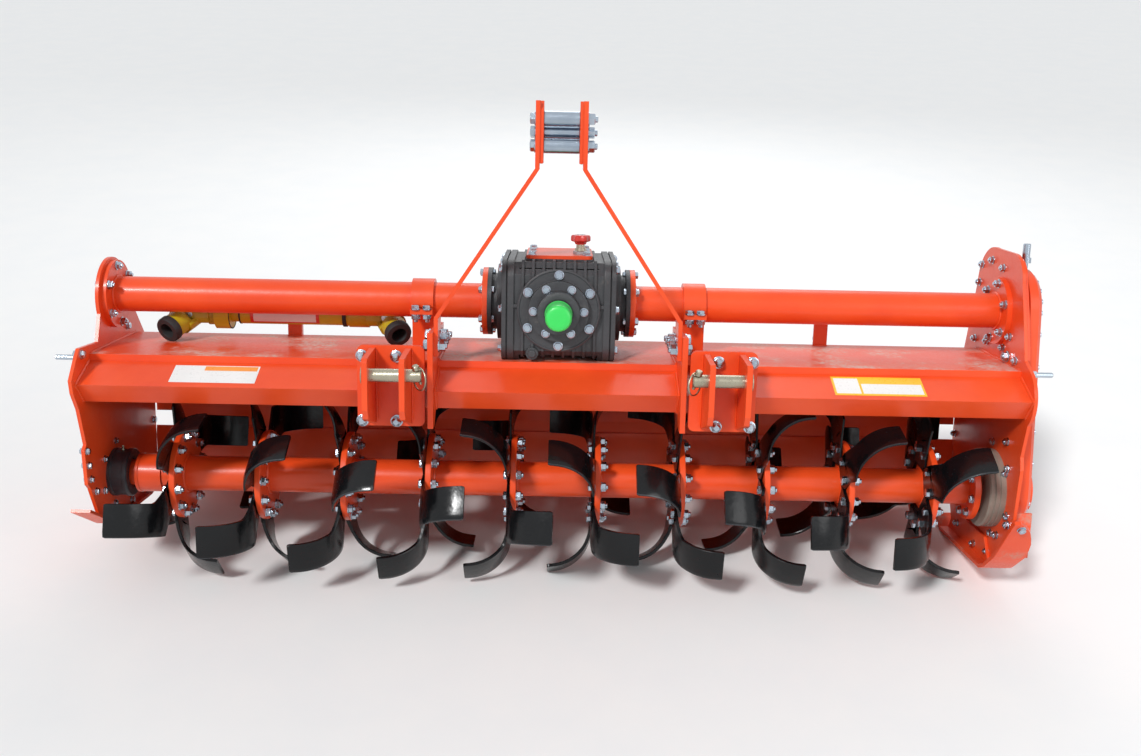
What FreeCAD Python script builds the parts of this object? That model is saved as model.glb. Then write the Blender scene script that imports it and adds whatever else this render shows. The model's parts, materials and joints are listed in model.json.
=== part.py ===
import FreeCAD, Part
import math
import os

from FreeCAD import Vector as V

os.makedirs("parts", exist_ok=True)

# Level frame, mm: X across the machine, Y to the rear, Z up, rotor axis on Y = Z = 0
PARK_DEG = 12.3            # nose-up lean of the parked machine
HALF_W = 1050.0            # machine centre to the middle of a side plate
PLATE_T = 8.0
IN_X = HALF_W - PLATE_T / 2
OUT_X = HALF_W + PLATE_T / 2
RUN = 0.05                 # radial clearance of a shaft that turns in its bore

# Rotor
RINGS = 10
FIRST_GAP, LAST_GAP = 178.0, 150.0     # side plate to the first and the last disc
RING_STEP = (2 * IN_X - FIRST_GAP - LAST_GAP) / (RINGS - 1)
TIP_R = 245.0
TUBE_R, TUBE_WALL = 41.0, 9.0          # rotor tube and cross tubes
DISC_R, DISC_T = 105.0, 10.0
BLADE_T, BLADE_W = 8.0, 76.0
BLADE_ROOT = 52.0          # inner end of a blade's stem, from the axis
BLADE_LENGTH = 114.0       # sideways, from the stem's outer face to the leaf's end
BEND_R = 58.0
LEAF_TILT = 8.0            # degrees the leaf falls from its cutting edge to its back
EDGE_DEG = 4.8             # cutting edge of ring 8, from the front horizontal downwards
RING_TURN = 15.0           # helix, degrees from ring to ring
STUB_R = 30.0
CLEAR_R = TIP_R + 8.0      # nothing fixed comes nearer the axis over the blades

# The floor: two neighbouring rows of cutting edges share the weight
LEAN = math.radians(PARK_DEG)
FLOOR = TIP_R * math.cos(math.radians(RING_TURN / 2))


def floor_z(y):
    return (-FLOOR + y * math.sin(LEAN)) / math.cos(LEAN)


# Deck, beam and hood
DECK_Z = TIP_R + 60.0      # top of the flat deck
DECK_T = 5.0
DECK_FRONT, DECK_BACK = -104.0, 190.0
LIP = 25.0
TUBE_Y, TUBE_Z = 60.0, DECK_Z + 113.0
BEAM_T = 6.0
NOSE = (DECK_FRONT - 84.0, DECK_Z - 53.0)
BEAM_END = (-149.4, 206.1)
BEAM = [BEAM_END, NOSE, (DECK_FRONT, DECK_Z - 15.0)]
HOOD_REAR, HOOD_SIDE_Z = DECK_BACK + 109.0, 130.0
FLAP_HALF = IN_X - 50.0
HINGE_Y, HINGE_Z = HOOD_REAR + 5.0, -2.0
HINGE_R, PIN_ROD_R = 13.0, 7.0
HOOD_LOW = HINGE_Z + HINGE_R + 9.0

pieces = {}


def box(x, y, z):
    return Part.makeBox(x[1] - x[0], y[1] - y[0], z[1] - z[0], V(x[0], y[0], z[0]))


def rod_x(x0, x1, y, z, r):
    return Part.makeCylinder(r, x1 - x0, V(x0, y, z), V(1, 0, 0))


def rod_y(y0, y1, x, z, r):
    return Part.makeCylinder(r, y1 - y0, V(x, y0, z), V(0, 1, 0))


def rod_z(z0, z1, x, y, r):
    return Part.makeCylinder(r, z1 - z0, V(x, y, z0), V(0, 0, 1))


def fuse(*shapes):
    out = shapes[0]
    for s in shapes[1:]:
        out = out.fuse(s)
    return out.removeSplitter()


def wire(items):
    """Closed wire in the YZ plane; an item is a point, or ("arc", through, end)."""
    edges, first, last = [], None, None
    for it in items:
        if it[0] == "arc":
            mid, end = [V(0, *q) for q in it[1:]]
            edges.append(Part.Arc(last, mid, end).toShape())
            last = end
            continue
        p = V(0, *it)
        if last is not None:
            edges.append(Part.makeLine(last, p))
        first, last = first or p, p
    if (last - first).Length > 1e-6:
        edges.append(Part.makeLine(last, first))
    return Part.Wire(edges)


def plate(items, x0, x1):
    """Flat plate with its outline in YZ, from x0 to x1."""
    f = Part.Face(wire(items))
    f.translate(V(x0, 0, 0))
    return f.extrude(V(x1 - x0, 0, 0))


def rounded(y0, y1, z0, z1, r):
    """Outline of a rectangle with round corners."""
    k = r * (1 - math.sqrt(0.5))
    return [(y0 + r, z0), (y1 - r, z0), ("arc", (y1 - k, z0 + k), (y1, z0 + r)),
            (y1, z1 - r), ("arc", (y1 - k, z1 - k), (y1 - r, z1)),
            (y0 + r, z1), ("arc", (y0 + k, z1 - k), (y0, z1 - r)),
            (y0, z0 + r), ("arc", (y0 + k, z0 + k), (y0 + r, z0))]


def bevelled(y0, y1, z0, z1, c):
    """Outline of a rectangle with cut corners."""
    return [(y0 + c, z0), (y1 - c, z0), (y1, z0 + c), (y1, z1 - c), (y1 - c, z1), (y0 + c, z1), (y0, z1 - c), (y0, z0 + c)]


def strip(pts, t):
    """Outline of a folded strip: the given line and the same line moved by t to its right."""
    n = []
    for i, p in enumerate(pts):
        dirs = []
        for a, b in ((i - 1, i), (i, i + 1)):
            if a >= 0 and b < len(pts):
                d = (pts[b][0] - pts[a][0], pts[b][1] - pts[a][1])
                l = math.hypot(*d)
                dirs.append((d[1] / l, -d[0] / l))
        mx, my = sum(d[0] for d in dirs), sum(d[1] for d in dirs)
        l = math.hypot(mx, my)
        mx, my = mx / l, my / l
        k = t / (mx * dirs[0][0] + my * dirs[0][1])
        n.append((p[0] + mx * k, p[1] + my * k))
    return list(pts) + n[::-1]


def put(name, shape):
    pieces[name] = shape


def mirrored(shape):
    return shape.mirror(V(0, 0, 0), V(1, 0, 0))


def both(name, shape):
    """Right-hand piece and its mirror image."""
    put(name + "_right", shape)
    put(name + "_left", mirrored(shape))


# Deck with a slotted chain post on each side
POST_X, POST_Y, POST_H, POST_W, POST_T = 650.0, DECK_BACK - 17.0, 95.0, 34.0, 6.0
SLOT_W, SLOT_Z = 9.0, DECK_Z + 62.0
deck = box((-IN_X, IN_X), (DECK_FRONT, DECK_BACK), (DECK_Z - DECK_T, DECK_Z))
deck = deck.fuse(box((-IN_X, IN_X), (DECK_FRONT, DECK_FRONT + DECK_T), (DECK_Z - LIP, DECK_Z)))
for cx in (-POST_X, POST_X):
    post = box((cx - POST_W / 2, cx + POST_W / 2), (POST_Y, POST_Y + POST_T), (DECK_Z, DECK_Z + POST_H))
    web = box((cx + POST_W / 2 - POST_T, cx + POST_W / 2), (POST_Y, DECK_BACK), (DECK_Z, DECK_Z + POST_H))
    slot = box((cx - SLOT_W / 2, cx + SLOT_W / 2), (POST_Y - 1, POST_Y + POST_T + 1), (SLOT_Z, DECK_Z + POST_H + 1))
    deck = deck.fuse(post.fuse(web).cut(slot))
put("deck", deck.removeSplitter())

# Rear hood: rolled from the deck's edge down to the tailboard's hinge
ROLL_MID, ROLL_END = (278.0, 206.0), (HOOD_REAR, 70.0)
hood_out = [(DECK_BACK, DECK_Z), ("arc", ROLL_MID, ROLL_END), (HOOD_REAR, HOOD_LOW)]
hood_in = [(HOOD_REAR - DECK_T, HOOD_LOW), (HOOD_REAR - DECK_T, ROLL_END[1]),
           ("arc", (ROLL_MID[0] - 4, ROLL_MID[1] - 3), (DECK_BACK, DECK_Z - DECK_T))]
hood = plate(hood_out + hood_in, -IN_X, IN_X)
for x0, x1 in ((-IN_X - 1, -FLAP_HALF), (FLAP_HALF, IN_X + 1)):
    hood = hood.cut(box((x0, x1), (DECK_BACK, HOOD_REAR + 1), (HOOD_LOW - 1, HOOD_SIDE_Z)))
KNUCKLES = [-0.94, -0.48, 0.0, 0.48, 0.94]      # of the tailboard's half width
BARRELS = [-0.71, -0.24, 0.24, 0.71]
KNUCKLE_W = 60.0
for k in KNUCKLES:
    x0, x1 = k * FLAP_HALF - KNUCKLE_W / 2, k * FLAP_HALF + KNUCKLE_W / 2
    hood = hood.fuse(box((x0, x1), (HOOD_REAR - DECK_T, HOOD_REAR), (HINGE_Z, HOOD_LOW)))
    hood = hood.fuse(rod_x(x0, x1, HINGE_Y, HINGE_Z, HINGE_R))
    hood = hood.cut(rod_x(x0 - 1, x1 + 1, HINGE_Y, HINGE_Z, PIN_ROD_R + RUN))
put("rear_hood", hood.removeSplitter())

# Front beam: a folded V welded to the deck's lip
beam = plate(strip(BEAM, BEAM_T), -IN_X, IN_X)
beam = beam.cut(box((-IN_X - 1, IN_X + 1), (DECK_FRONT, 0), (0, DECK_Z)))
put("front_beam", beam)

# Skids: a bent strip under each side plate, the right one carries the parked machine
HEEL_Y = 247.0
HEEL_Z = floor_z(HEEL_Y)
SKID_R_T, SKID_L_T = 10.0, 7.0
SKID_R_IN, SKID_R_OUT = 31.0, 56.0     # reach inside and outside the side plate
SKID_L_IN, SKID_L_OUT = 12.0, 24.0
skid_r = [(-175, HEEL_Z + 124), (-130, HEEL_Z + 65), (-72, HEEL_Z + 19), (-44, HEEL_Z + 7),
          (HEEL_Y, HEEL_Z), (HEEL_Y + 43, HEEL_Z + 27)]
skid_l = [(-182, -34), (-46, -106), (200, -112), (252, -98)]
WEB_T, WEB_Z = 8.0, HEEL_Z + 70.0
r_top = strip(skid_r, -SKID_R_T)[len(skid_r):][::-1]
# plan of the right skid: narrow under the plate, wide at the nose, with cut corners
RUN_X, NOSE_X = OUT_X + 29.0, OUT_X + SKID_R_OUT
skid_plan = [(IN_X - SKID_R_IN, HEEL_Y + 60), (RUN_X, HEEL_Y + 60), (RUN_X, -50), (NOSE_X - 8, -66), (NOSE_X, -84),
             (NOSE_X, -118), (NOSE_X - 14, -150), (NOSE_X - 24, -190), (OUT_X + 4, -190), (OUT_X + 4, -160),
             (IN_X, -118), (IN_X - SKID_R_IN, -70)]
skid = Part.Face(Part.makePolygon([V(x, y, -CLEAR_R) for x, y in skid_plan + skid_plan[:1]])).extrude(V(0, 0, CLEAR_R))
skid = skid.common(plate(strip(skid_r, -SKID_R_T), IN_X - SKID_R_IN, NOSE_X))
put("skid_right", fuse(skid, plate([r_top[3], r_top[4], (HEEL_Y - 30, WEB_Z), (0, WEB_Z)], IN_X - WEB_T, IN_X),
                       box((OUT_X + 10, NOSE_X), (-112, -104), (HEEL_Z + 42, -36))))
put("skid_left", plate(strip(skid_l, SKID_L_T), -OUT_X - SKID_L_OUT, -IN_X + SKID_L_IN))

# Side plates; the left one stands on its skid, the right one ends a slot above it
SLOT = 6.0
LEFT_R = 86.0              # rounded top over the cross tube
toe = [a + (b - a) * 0.57 for a, b in zip(*skid_l[:2])]
left_plate = [toe, (-126, -33), (-145, 4), (-158, 16), (-164, 97), (-152, 107), (-178, 194), (-202, 235), (-207, 264),
              (-175, 304), (-155, 326), (-52, 322), (-28, DECK_Z + 78),
              ("arc", (TUBE_Y, TUBE_Z + LEFT_R), (TUBE_Y + LEFT_R, TUBE_Z)),
              (DECK_BACK - 20, DECK_Z + 75), (HOOD_REAR - 37, DECK_Z - 35), (HOOD_REAR - 9, 120),
              (HOOD_REAR - 13, -40)] + skid_l[:0:-1]
plate_low = r_top[4][1] + SLOT
shoulder = [(-99, 381), (-58, 498), ("arc", (-40, 540), (4, 559)), (109, 561), ("arc", (190, 537), (221, 466))]
right_plate = [(-141, -34), (-144, -6), (-153, 86), (-145, 116), (-165, 193), ("arc", (-188, 258), (-156, 309)),
               (-114, 330)] + shoulder + [
               (HOOD_REAR - 37, DECK_Z + 20), (HOOD_REAR - 11, DECK_Z - 65), (HOOD_REAR - 1, 60),
               (HOOD_REAR - 9, -90), (250, plate_low + 10), (215, plate_low), (0, plate_low), (-34, -174), (-95, -104)]
put("side_plate_left", plate(left_plate, -OUT_X, -IN_X))
put("side_plate_right", plate(right_plate, IN_X, OUT_X))

# Gear case on the right end: a flange on the plate, a recessed body, and a lid with a cover over each shaft
CASE_EDGE = 10.0
CASE_TOP, CASE_LOW = (62.0, 425.0, 93.0), (0.0, 0.0, 78.0)      # y, z, radius of the rounded ends
CASE_STEPS = [(12.0, 8.0), (16.0, -16.0), (20.0, 0.0)]          # thickness, growth of the outline
COVER_R, COVER_T = (60.0, 56.0), 8.0


def case_line(grow):
    """Outline of the case: two round ends and the lines between them."""
    (y1, z1, r1), (y0, z0, r0) = CASE_TOP, CASE_LOW
    r1, r0 = r1 + grow, r0 + grow
    a = math.asin((r1 - r0) / math.hypot(y1 - y0, z1 - z0))
    lean = math.atan2(y1 - y0, z1 - z0)

    def at(y, z, r, deg):
        return (y + r * math.cos(deg), z + r * math.sin(deg))
    front, back = math.pi + a - lean, -a - lean
    return [at(y0, z0, r0, front), at(y1, z1, r1, front), ("arc", at(y1, z1, r1, math.pi / 2 - lean), at(y1, z1, r1, back)),
            at(y0, z0, r0, back), ("arc", at(y0, z0, r0, -math.pi / 2 - lean), at(y0, z0, r0, front))]


x, gear_case = OUT_X, None
for t, grow in CASE_STEPS:
    layer = plate(case_line(grow), x, x + t)
    gear_case = layer if gear_case is None else gear_case.fuse(layer)
    x += t
gear_case = gear_case.fuse(plate([(-97, 328), (-71, 418), (-36, 508), ("arc", (-22, 534), (10, 549)), (106, 551),
                                  ("arc", (180, 526), (209, 466)), (150, 328)], OUT_X, OUT_X + CASE_STEPS[0][0]))
w0, w1 = wire(case_line(0)), wire(case_line(-CASE_EDGE))
w0.translate(V(x, 0, 0))
w1.translate(V(x + CASE_EDGE, 0, 0))
gear_case = gear_case.fuse(Part.makeLoft([w0, w1], True, True))
for (y, z, _), r in zip((CASE_LOW, CASE_TOP), COVER_R):
    gear_case = gear_case.fuse(rod_x(x, x + CASE_EDGE + COVER_T, y, z, r))
put("gear_case", gear_case.removeSplitter())

# Cross tubes: hollow, with a flange at the gearbox and one at the side plate
GB_X, FLANGE_R, FLANGE_T = 165.0, 79.0, 12.0
tube = fuse(rod_x(GB_X, IN_X, TUBE_Y, TUBE_Z, TUBE_R), rod_x(GB_X, GB_X + FLANGE_T, TUBE_Y, TUBE_Z, FLANGE_R),
            rod_x(IN_X - FLANGE_T, IN_X, TUBE_Y, TUBE_Z, FLANGE_R))
both("top_tube", tube.cut(rod_x(GB_X - 1, IN_X + 1, TUBE_Y, TUBE_Z, TUBE_R - TUBE_WALL)))

# Gearbox: a cast shell open to the deck, ribs round it, a two-part cover and a neck on each side
GB_WALL, GB_CORNER = 12.0, 26.0
GB_Y0, GB_Y1, GB_Z1 = TUBE_Y - 164.0, TUBE_Y + 112.0, DECK_Z + 222.0
GB_HALF = 100.0
GB_RIBS, RIB_W, RIB_H = 8, 6.0, 5.0
PAD = (75.0, TUBE_Y - 120.0, TUBE_Y + 60.0)     # half width, front, back of the top pad
# side layers from the body outwards: thickness, inset of the outline
GB_LAYERS = [(14.0, 0.0), (3.0, 5.0), (10.0, 0.0)]
GB_NECKS = [(15.0, 88.0), (13.0, 66.0), (10.0, 79.0)]         # thickness, radius
body = plate(bevelled(GB_Y0, GB_Y1, DECK_Z, GB_Z1, GB_CORNER), -GB_HALF, GB_HALF)
for i in range(GB_RIBS):
    x = (i - (GB_RIBS - 1) / 2) * 2 * GB_HALF / (GB_RIBS + 0.7)
    body = body.fuse(plate(bevelled(GB_Y0 - RIB_H, GB_Y1 + RIB_H, DECK_Z, GB_Z1 + RIB_H, GB_CORNER),
                           x - RIB_W / 2, x + RIB_W / 2))
body = body.fuse(box((-PAD[0], PAD[0]), PAD[1:], (GB_Z1 - 1, GB_Z1 + RIB_H)))
body = body.cut(box((-GB_HALF + GB_WALL, GB_HALF - GB_WALL), (GB_Y0 + GB_WALL, GB_Y1 - GB_WALL),
                    (DECK_Z, GB_Z1 - GB_WALL)))
x = GB_HALF
for t, inset in GB_LAYERS:
    layer = plate(rounded(GB_Y0 - RIB_H + inset, GB_Y1 + RIB_H - inset, DECK_Z, GB_Z1 + RIB_H - inset,
                          GB_CORNER + 14), x, x + t)
    body = body.fuse(layer).fuse(mirrored(layer))
    x += t
for t, r in GB_NECKS:
    neck = rod_x(x, x + t, TUBE_Y, TUBE_Z, r)
    body = body.fuse(neck).fuse(mirrored(neck))
    x += t
put("gearbox_housing", body.removeSplitter())

# Input cover in steps towards the tractor, with the capped shaft in its bore
PTO_Z = TUBE_Z + 6.0
SHAFT_R, CAP_R = 17.5, 30.0
COVER_STEPS = [(12.0, 91.0), (16.0, 67.0), (28.0, 46.5)]      # thickness, radius
y, cover = GB_Y0, None
for t, r in COVER_STEPS:
    c = rod_y(y - t, y, 0, PTO_Z, r)
    cover = c if cover is None else cover.fuse(c)
    y -= t
NECK_END = y
SHAFT_END, SHAFT_IN = NECK_END - 66.0, GB_Y0 - 7.0
CAP_END, CAP_GAP, CAP_BEVEL = NECK_END - 72.0, 8.0, 5.0
cover = cover.cut(rod_y(NECK_END - 1, GB_Y0 + 1, 0, PTO_Z, SHAFT_R + RUN))
put("gearbox_front_cover", cover.cut(body).removeSplitter())
put("pto_shaft", rod_y(SHAFT_END, SHAFT_IN, 0, PTO_Z, SHAFT_R))
cap = fuse(rod_y(CAP_END + CAP_BEVEL, NECK_END - CAP_GAP, 0, PTO_Z, CAP_R),
           Part.makeCone(CAP_R - CAP_BEVEL, CAP_R, CAP_BEVEL, V(0, CAP_END, PTO_Z), V(0, 1, 0)))
put("pto_cap", cap.cut(rod_y(SHAFT_END, NECK_END, 0, PTO_Z, SHAFT_R)))

TOP_T, TOP_ROUND = 8.0, 12.0
top = box((-PAD[0], PAD[0]), PAD[1:], (GB_Z1 + RIB_H, GB_Z1 + RIB_H + TOP_T))
put("gearbox_top_plate", top.makeFillet(TOP_ROUND, [e for e in top.Edges if abs(e.Length - TOP_T) < 0.01]))
FILL_X, FILL_Y, FILL_Z = 45.0, TUBE_Y - 80.0, GB_Z1 + RIB_H + TOP_T
put("filler_cap", fuse(rod_z(FILL_Z, FILL_Z + 20, FILL_X, FILL_Y, 13),
                       rod_z(FILL_Z + 20, FILL_Z + 28, FILL_X, FILL_Y, 9),
                       rod_z(FILL_Z + 28, FILL_Z + 42, FILL_X, FILL_Y, 21)))

# Mast feet: plates notched round the front beam and carried back over the deck
FOOT_X, FOOT_T = 268.0, 12.0
FOOT_FRONT, FOOT_TOP, FOOT_LOW, FOOT_BACK = NOSE[0] - 24.0, DECK_Z + 80.0, 174.0, TUBE_Y - 36.0
foot_toe = math.sqrt(CLEAR_R ** 2 - FOOT_LOW ** 2)
both("mast_foot", plate([(FOOT_FRONT, FOOT_LOW), (FOOT_FRONT, FOOT_TOP), (FOOT_BACK, FOOT_TOP - 14), (FOOT_BACK, DECK_Z),
                         (DECK_FRONT, DECK_Z), BEAM[2], NOSE, BEAM_END, (-foot_toe, FOOT_LOW)],
                        FOOT_X, FOOT_X + FOOT_T))

# Mast: a bent bar each side, from the inner face of its foot to the head
BAR_T, BAR_W = 9.0, 64.0
BAR_KNEE_Z = DECK_Z + 110.0
HEAD_X, HEAD_T, HEAD_MID_Z = 38.0, 8.0, DECK_Z + 505.0
HEAD_LOW, HEAD_TOP = HEAD_MID_Z - 64.0, HEAD_MID_Z + 64.0
BAR_Y = (NOSE[0] - 2.0, NOSE[0] - 2.0 + BAR_W)
bar_line = [(HEAD_X + HEAD_T + BAR_T, HEAD_TOP), (HEAD_X + HEAD_T + BAR_T, HEAD_LOW - 11.0),
            (FOOT_X, BAR_KNEE_Z), (FOOT_X, DECK_Z + 25.0)]
outline = strip(bar_line, BAR_T)
bar_face = Part.Face(Part.makePolygon([V(x, 0, z) for x, z in outline + outline[:1]]))
bar_face.translate(V(0, BAR_Y[0], 0))
both("mast_bar", bar_face.extrude(V(0, BAR_Y[1] - BAR_Y[0], 0)))

head = [(BAR_Y[0] + 4, HEAD_LOW), (BAR_Y[1] + 8, HEAD_LOW), (BAR_Y[1] + 8, HEAD_TOP - 18),
        (BAR_Y[1] - 10, HEAD_TOP), (BAR_Y[0] + 22, HEAD_TOP), (BAR_Y[0] + 4, HEAD_TOP - 18)]
both("head_plate", plate(head, HEAD_X, HEAD_X + HEAD_T))
# name, y from the bar's front edge, z from the head's middle, radius, bore
for name, y, z, r, bore in (("head_bush_top", 28, 28, 16, 9.5), ("head_bush_middle", 50, 0, 14, 8),
                            ("head_bush_bottom", 28, -28, 16, 9.5)):
    y, z = BAR_Y[0] + y, HEAD_MID_Z + z
    put(name, rod_x(-HEAD_X, HEAD_X, y, z, r).cut(rod_x(-HEAD_X - 1, HEAD_X + 1, y, z, bore)))

# Clamps that hold the cross tubes over the deck: a split ring on a stem, with bolt ears in front
CLAMP_X, CLAMP_W, CLAMP_T = FOOT_X + 23.0, 52.0, 9.0
CLAMP_STEM, EAR_T, EAR_REACH = 44.0, 12.0, 16.0
c0, c1, ear_y = CLAMP_X, CLAMP_X + CLAMP_W, TUBE_Y - TUBE_R - CLAMP_T
clamp = fuse(rod_x(c0, c1, TUBE_Y, TUBE_Z, TUBE_R + CLAMP_T),
             box((c0, c1), (TUBE_Y - CLAMP_STEM / 2, TUBE_Y + CLAMP_STEM / 2), (DECK_Z, TUBE_Z - TUBE_R + 10)),
             box((c0, c1), (ear_y - EAR_REACH, ear_y + CLAMP_T), (TUBE_Z - 14 - EAR_T, TUBE_Z - 14)))
both("tube_clamp", clamp.cut(rod_x(c0 - 1, c1 + 1, TUBE_Y, TUBE_Z, TUBE_R)))

# Lower hitch brackets: a bolting plate, two ears with gussets back to the beam, and a pin
HITCH_X, HITCH_Y, HITCH_Z = 360.0, NOSE[0] - 92.0, DECK_Z + 1.0
PIN_R, PIN_HEAD_R, PIN_HEAD_T = 14.0, 19.0, 5.0
PAD_T, PAD_HALF, PAD_LOW, PAD_TOP, PAD_ROUND = 10.0, 73.0, NOSE[1] - 76.0, NOSE[1] + 102.0, 14.0
EAR_IN, HITCH_EAR_T = 32.5, 12.0       # pin's middle to an ear's inner face
EAR_FRONT, EAR_TOP = HITCH_Y - 32.0, PAD_TOP - 4.0
pad_y = NOSE[0] - PAD_T
ear = [(NOSE[0], EAR_TOP), (EAR_FRONT + 6, EAR_TOP - 4), (EAR_FRONT, EAR_TOP - 12), (EAR_FRONT, HITCH_Z - 70),
       (EAR_FRONT + 12, HITCH_Z - 91), (pad_y, PAD_LOW + 6), (NOSE[0], PAD_LOW + 6),
       (-math.sqrt(CLEAR_R ** 2 - 195.0 ** 2), 195.0), BEAM_END, NOSE, BEAM[2], (DECK_FRONT, DECK_Z)]
bracket = box((HITCH_X - PAD_HALF, HITCH_X + PAD_HALF), (pad_y, NOSE[0]), (PAD_LOW, PAD_TOP))
bracket = bracket.makeFillet(PAD_ROUND, [e for e in bracket.Edges if abs(e.Length - PAD_T) < 0.01])
for x in (HITCH_X - EAR_IN - HITCH_EAR_T, HITCH_X + EAR_IN):
    bracket = bracket.fuse(plate(ear, x, x + HITCH_EAR_T))
ends = (HITCH_X - EAR_IN - HITCH_EAR_T - 32, HITCH_X + EAR_IN + HITCH_EAR_T + PIN_HEAD_T)
both("lower_hitch", bracket.cut(rod_x(ends[0], ends[1], HITCH_Y, HITCH_Z, PIN_R)).removeSplitter())
both("lower_pin", fuse(rod_x(ends[0], ends[1], HITCH_Y, HITCH_Z, PIN_R),
                       rod_x(ends[1] - PIN_HEAD_T, ends[1], HITCH_Y, HITCH_Z, PIN_HEAD_R)))

# Bearing hubs on the side plates
HUB_L_R, HUB_L_X = 57.0, IN_X - 46.0
HUB_R_R, HUB_R_X = 93.5, IN_X - 38.0
put("bearing_hub_left", rod_x(-IN_X, -HUB_L_X, 0, 0, HUB_L_R).cut(rod_x(-IN_X - 1, -HUB_L_X + 1, 0, 0, STUB_R + RUN)))
put("bearing_hub_right", rod_x(HUB_R_X, IN_X, 0, 0, HUB_R_R).cut(rod_x(HUB_R_X - 1, IN_X + 1, 0, 0, STUB_R + RUN)))

# Rotor tube: hollow between its end plugs, with a collar on the left and a bolted flange on the right
END_L, END_R, PLUG, STUB_END = -HUB_L_X + 15.0, HUB_R_X - 15.0, 20.0, IN_X - 8.0
COLLAR = (4.0, 60.0)       # rise over the tube, length
ROTOR_FLANGE = (77.0, 14.0)            # radius, thickness
rotor = fuse(rod_x(END_L, END_R, 0, 0, TUBE_R), rod_x(-STUB_END, END_L, 0, 0, STUB_R),
             rod_x(END_R, STUB_END, 0, 0, STUB_R), rod_x(END_L, END_L + COLLAR[1], 0, 0, TUBE_R + COLLAR[0]),
             rod_x(END_R - ROTOR_FLANGE[1], END_R, 0, 0, ROTOR_FLANGE[0]))
put("rotor_tube", rotor.cut(rod_x(END_L + PLUG, END_R - PLUG, 0, 0, TUBE_R - TUBE_WALL)))

# One blade in its own frame: outwards along +Z, cutting edge towards -Y, leaf towards +X
rise = BLADE_W * math.tan(math.radians(LEAF_TILT))
LEAF_Z = math.sqrt(TIP_R ** 2 - (BLADE_W / 2) ** 2) - rise       # leaf's outer face at its back edge


def blade(x_face):
    """Bent flat bar: a stem whose convex face lies at x_face, rolled over into a leaf."""
    b, t = BEND_R, BLADE_T
    k = math.sqrt(0.5)
    cx, cz = x_face + b, LEAF_Z - b
    end = x_face + BLADE_LENGTH
    edges = [Part.makeLine(V(x_face, 0, BLADE_ROOT), V(x_face, 0, cz)),
             Part.Arc(V(x_face, 0, cz), V(cx - b * k, 0, cz + b * k), V(cx, 0, LEAF_Z)).toShape(),
             Part.makeLine(V(cx, 0, LEAF_Z), V(end, 0, LEAF_Z)),
             Part.makeLine(V(end, 0, LEAF_Z), V(end, 0, LEAF_Z - t)),
             Part.makeLine(V(end, 0, LEAF_Z - t), V(cx, 0, LEAF_Z - t)),
             Part.Arc(V(cx, 0, LEAF_Z - t), V(cx - (b - t) * k, 0, cz + (b - t) * k), V(x_face + t, 0, cz)).toShape(),
             Part.makeLine(V(x_face + t, 0, cz), V(x_face + t, 0, BLADE_ROOT)),
             Part.makeLine(V(x_face + t, 0, BLADE_ROOT), V(x_face, 0, BLADE_ROOT))]
    f = Part.Face(Part.Wire(edges))
    f.translate(V(0, BLADE_W / 2, 0))
    return f.extrude(V(0, -BLADE_W, rise))


# All six blades are bolted to the left face of their disc, by turns bent left and right
blade_r = blade(-DISC_T / 2 - BLADE_T)
blade_l = mirrored(blade(DISC_T / 2))
EDGE_LEAD = math.degrees(math.asin(BLADE_W / 2 / TIP_R))
for n in range(RINGS):
    ring = rod_x(-DISC_T / 2, DISC_T / 2, 0, 0, DISC_R)
    for j in range(6):
        b = (blade_r if j % 2 else blade_l).copy()
        b.rotate(V(0, 0, 0), V(1, 0, 0), 90 + EDGE_DEG - EDGE_LEAD + RING_TURN * (n - 7) + 60 * j)
        ring = ring.fuse(b)
    ring = ring.cut(rod_x(-DISC_T, DISC_T, 0, 0, TUBE_R))
    ring.translate(V(-IN_X + FIRST_GAP + RING_STEP * n, 0, 0))
    put("tine_ring_%02d" % (n + 1), ring.removeSplitter())

# Tailboard, hinged on a long rod; its lower edge stops just over the floor
FLAP_Y, FLAP_T, FLAP_GAP = HOOD_REAR + 176.0, 4.0, 0.6
FLAP_START, FOLD_H, FOLD_T = HINGE_R + 7.0, 26.0, 6.0
LUG_S, LUG_L, LUG_H, LUG_T = 120.0, 14.0, 28.0, 6.0
ROD_HALF = FLAP_HALF - 11.0
ux, uz = FLAP_Y - HINGE_Y, floor_z(FLAP_Y) + FLAP_GAP + FLAP_T / 2 - HINGE_Z
flap_l = math.hypot(ux, uz)
ux, uz = ux / flap_l, uz / flap_l


def on_flap(s, up=0.0):
    """Point in YZ, s down the board from the hinge and up over its middle."""
    return (HINGE_Y + ux * s - uz * up, HINGE_Z + uz * s + ux * up)


def flap_bar(s0, s1, u0, u1, x0, x1):
    return plate([on_flap(s0, u0), on_flap(s0, u1), on_flap(s1, u1), on_flap(s1, u0)], x0, x1)


h = FLAP_T / 2
flap = flap_bar(FLAP_START, flap_l, -h, h, -FLAP_HALF, FLAP_HALF)
flap = flap.fuse(flap_bar(flap_l - FOLD_T, flap_l, h, FOLD_H, -FLAP_HALF, FLAP_HALF))
for k in BARRELS:
    x0, x1 = k * FLAP_HALF - KNUCKLE_W / 2, k * FLAP_HALF + KNUCKLE_W / 2
    flap = flap.fuse(rod_x(x0, x1, HINGE_Y, HINGE_Z, HINGE_R))
    flap = flap.fuse(flap_bar(4, FLAP_START + 4, -FLAP_T, FLAP_T, x0, x1))
for x in (-POST_X, POST_X):
    flap = flap.fuse(flap_bar(LUG_S, LUG_S + LUG_L, h, LUG_H, x - LUG_T / 2, x + LUG_T / 2))
flap = flap.fuse(rod_x(-ROD_HALF, ROD_HALF, HINGE_Y, HINGE_Z, PIN_ROD_R))
put("tailboard", flap.removeSplitter())

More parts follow.
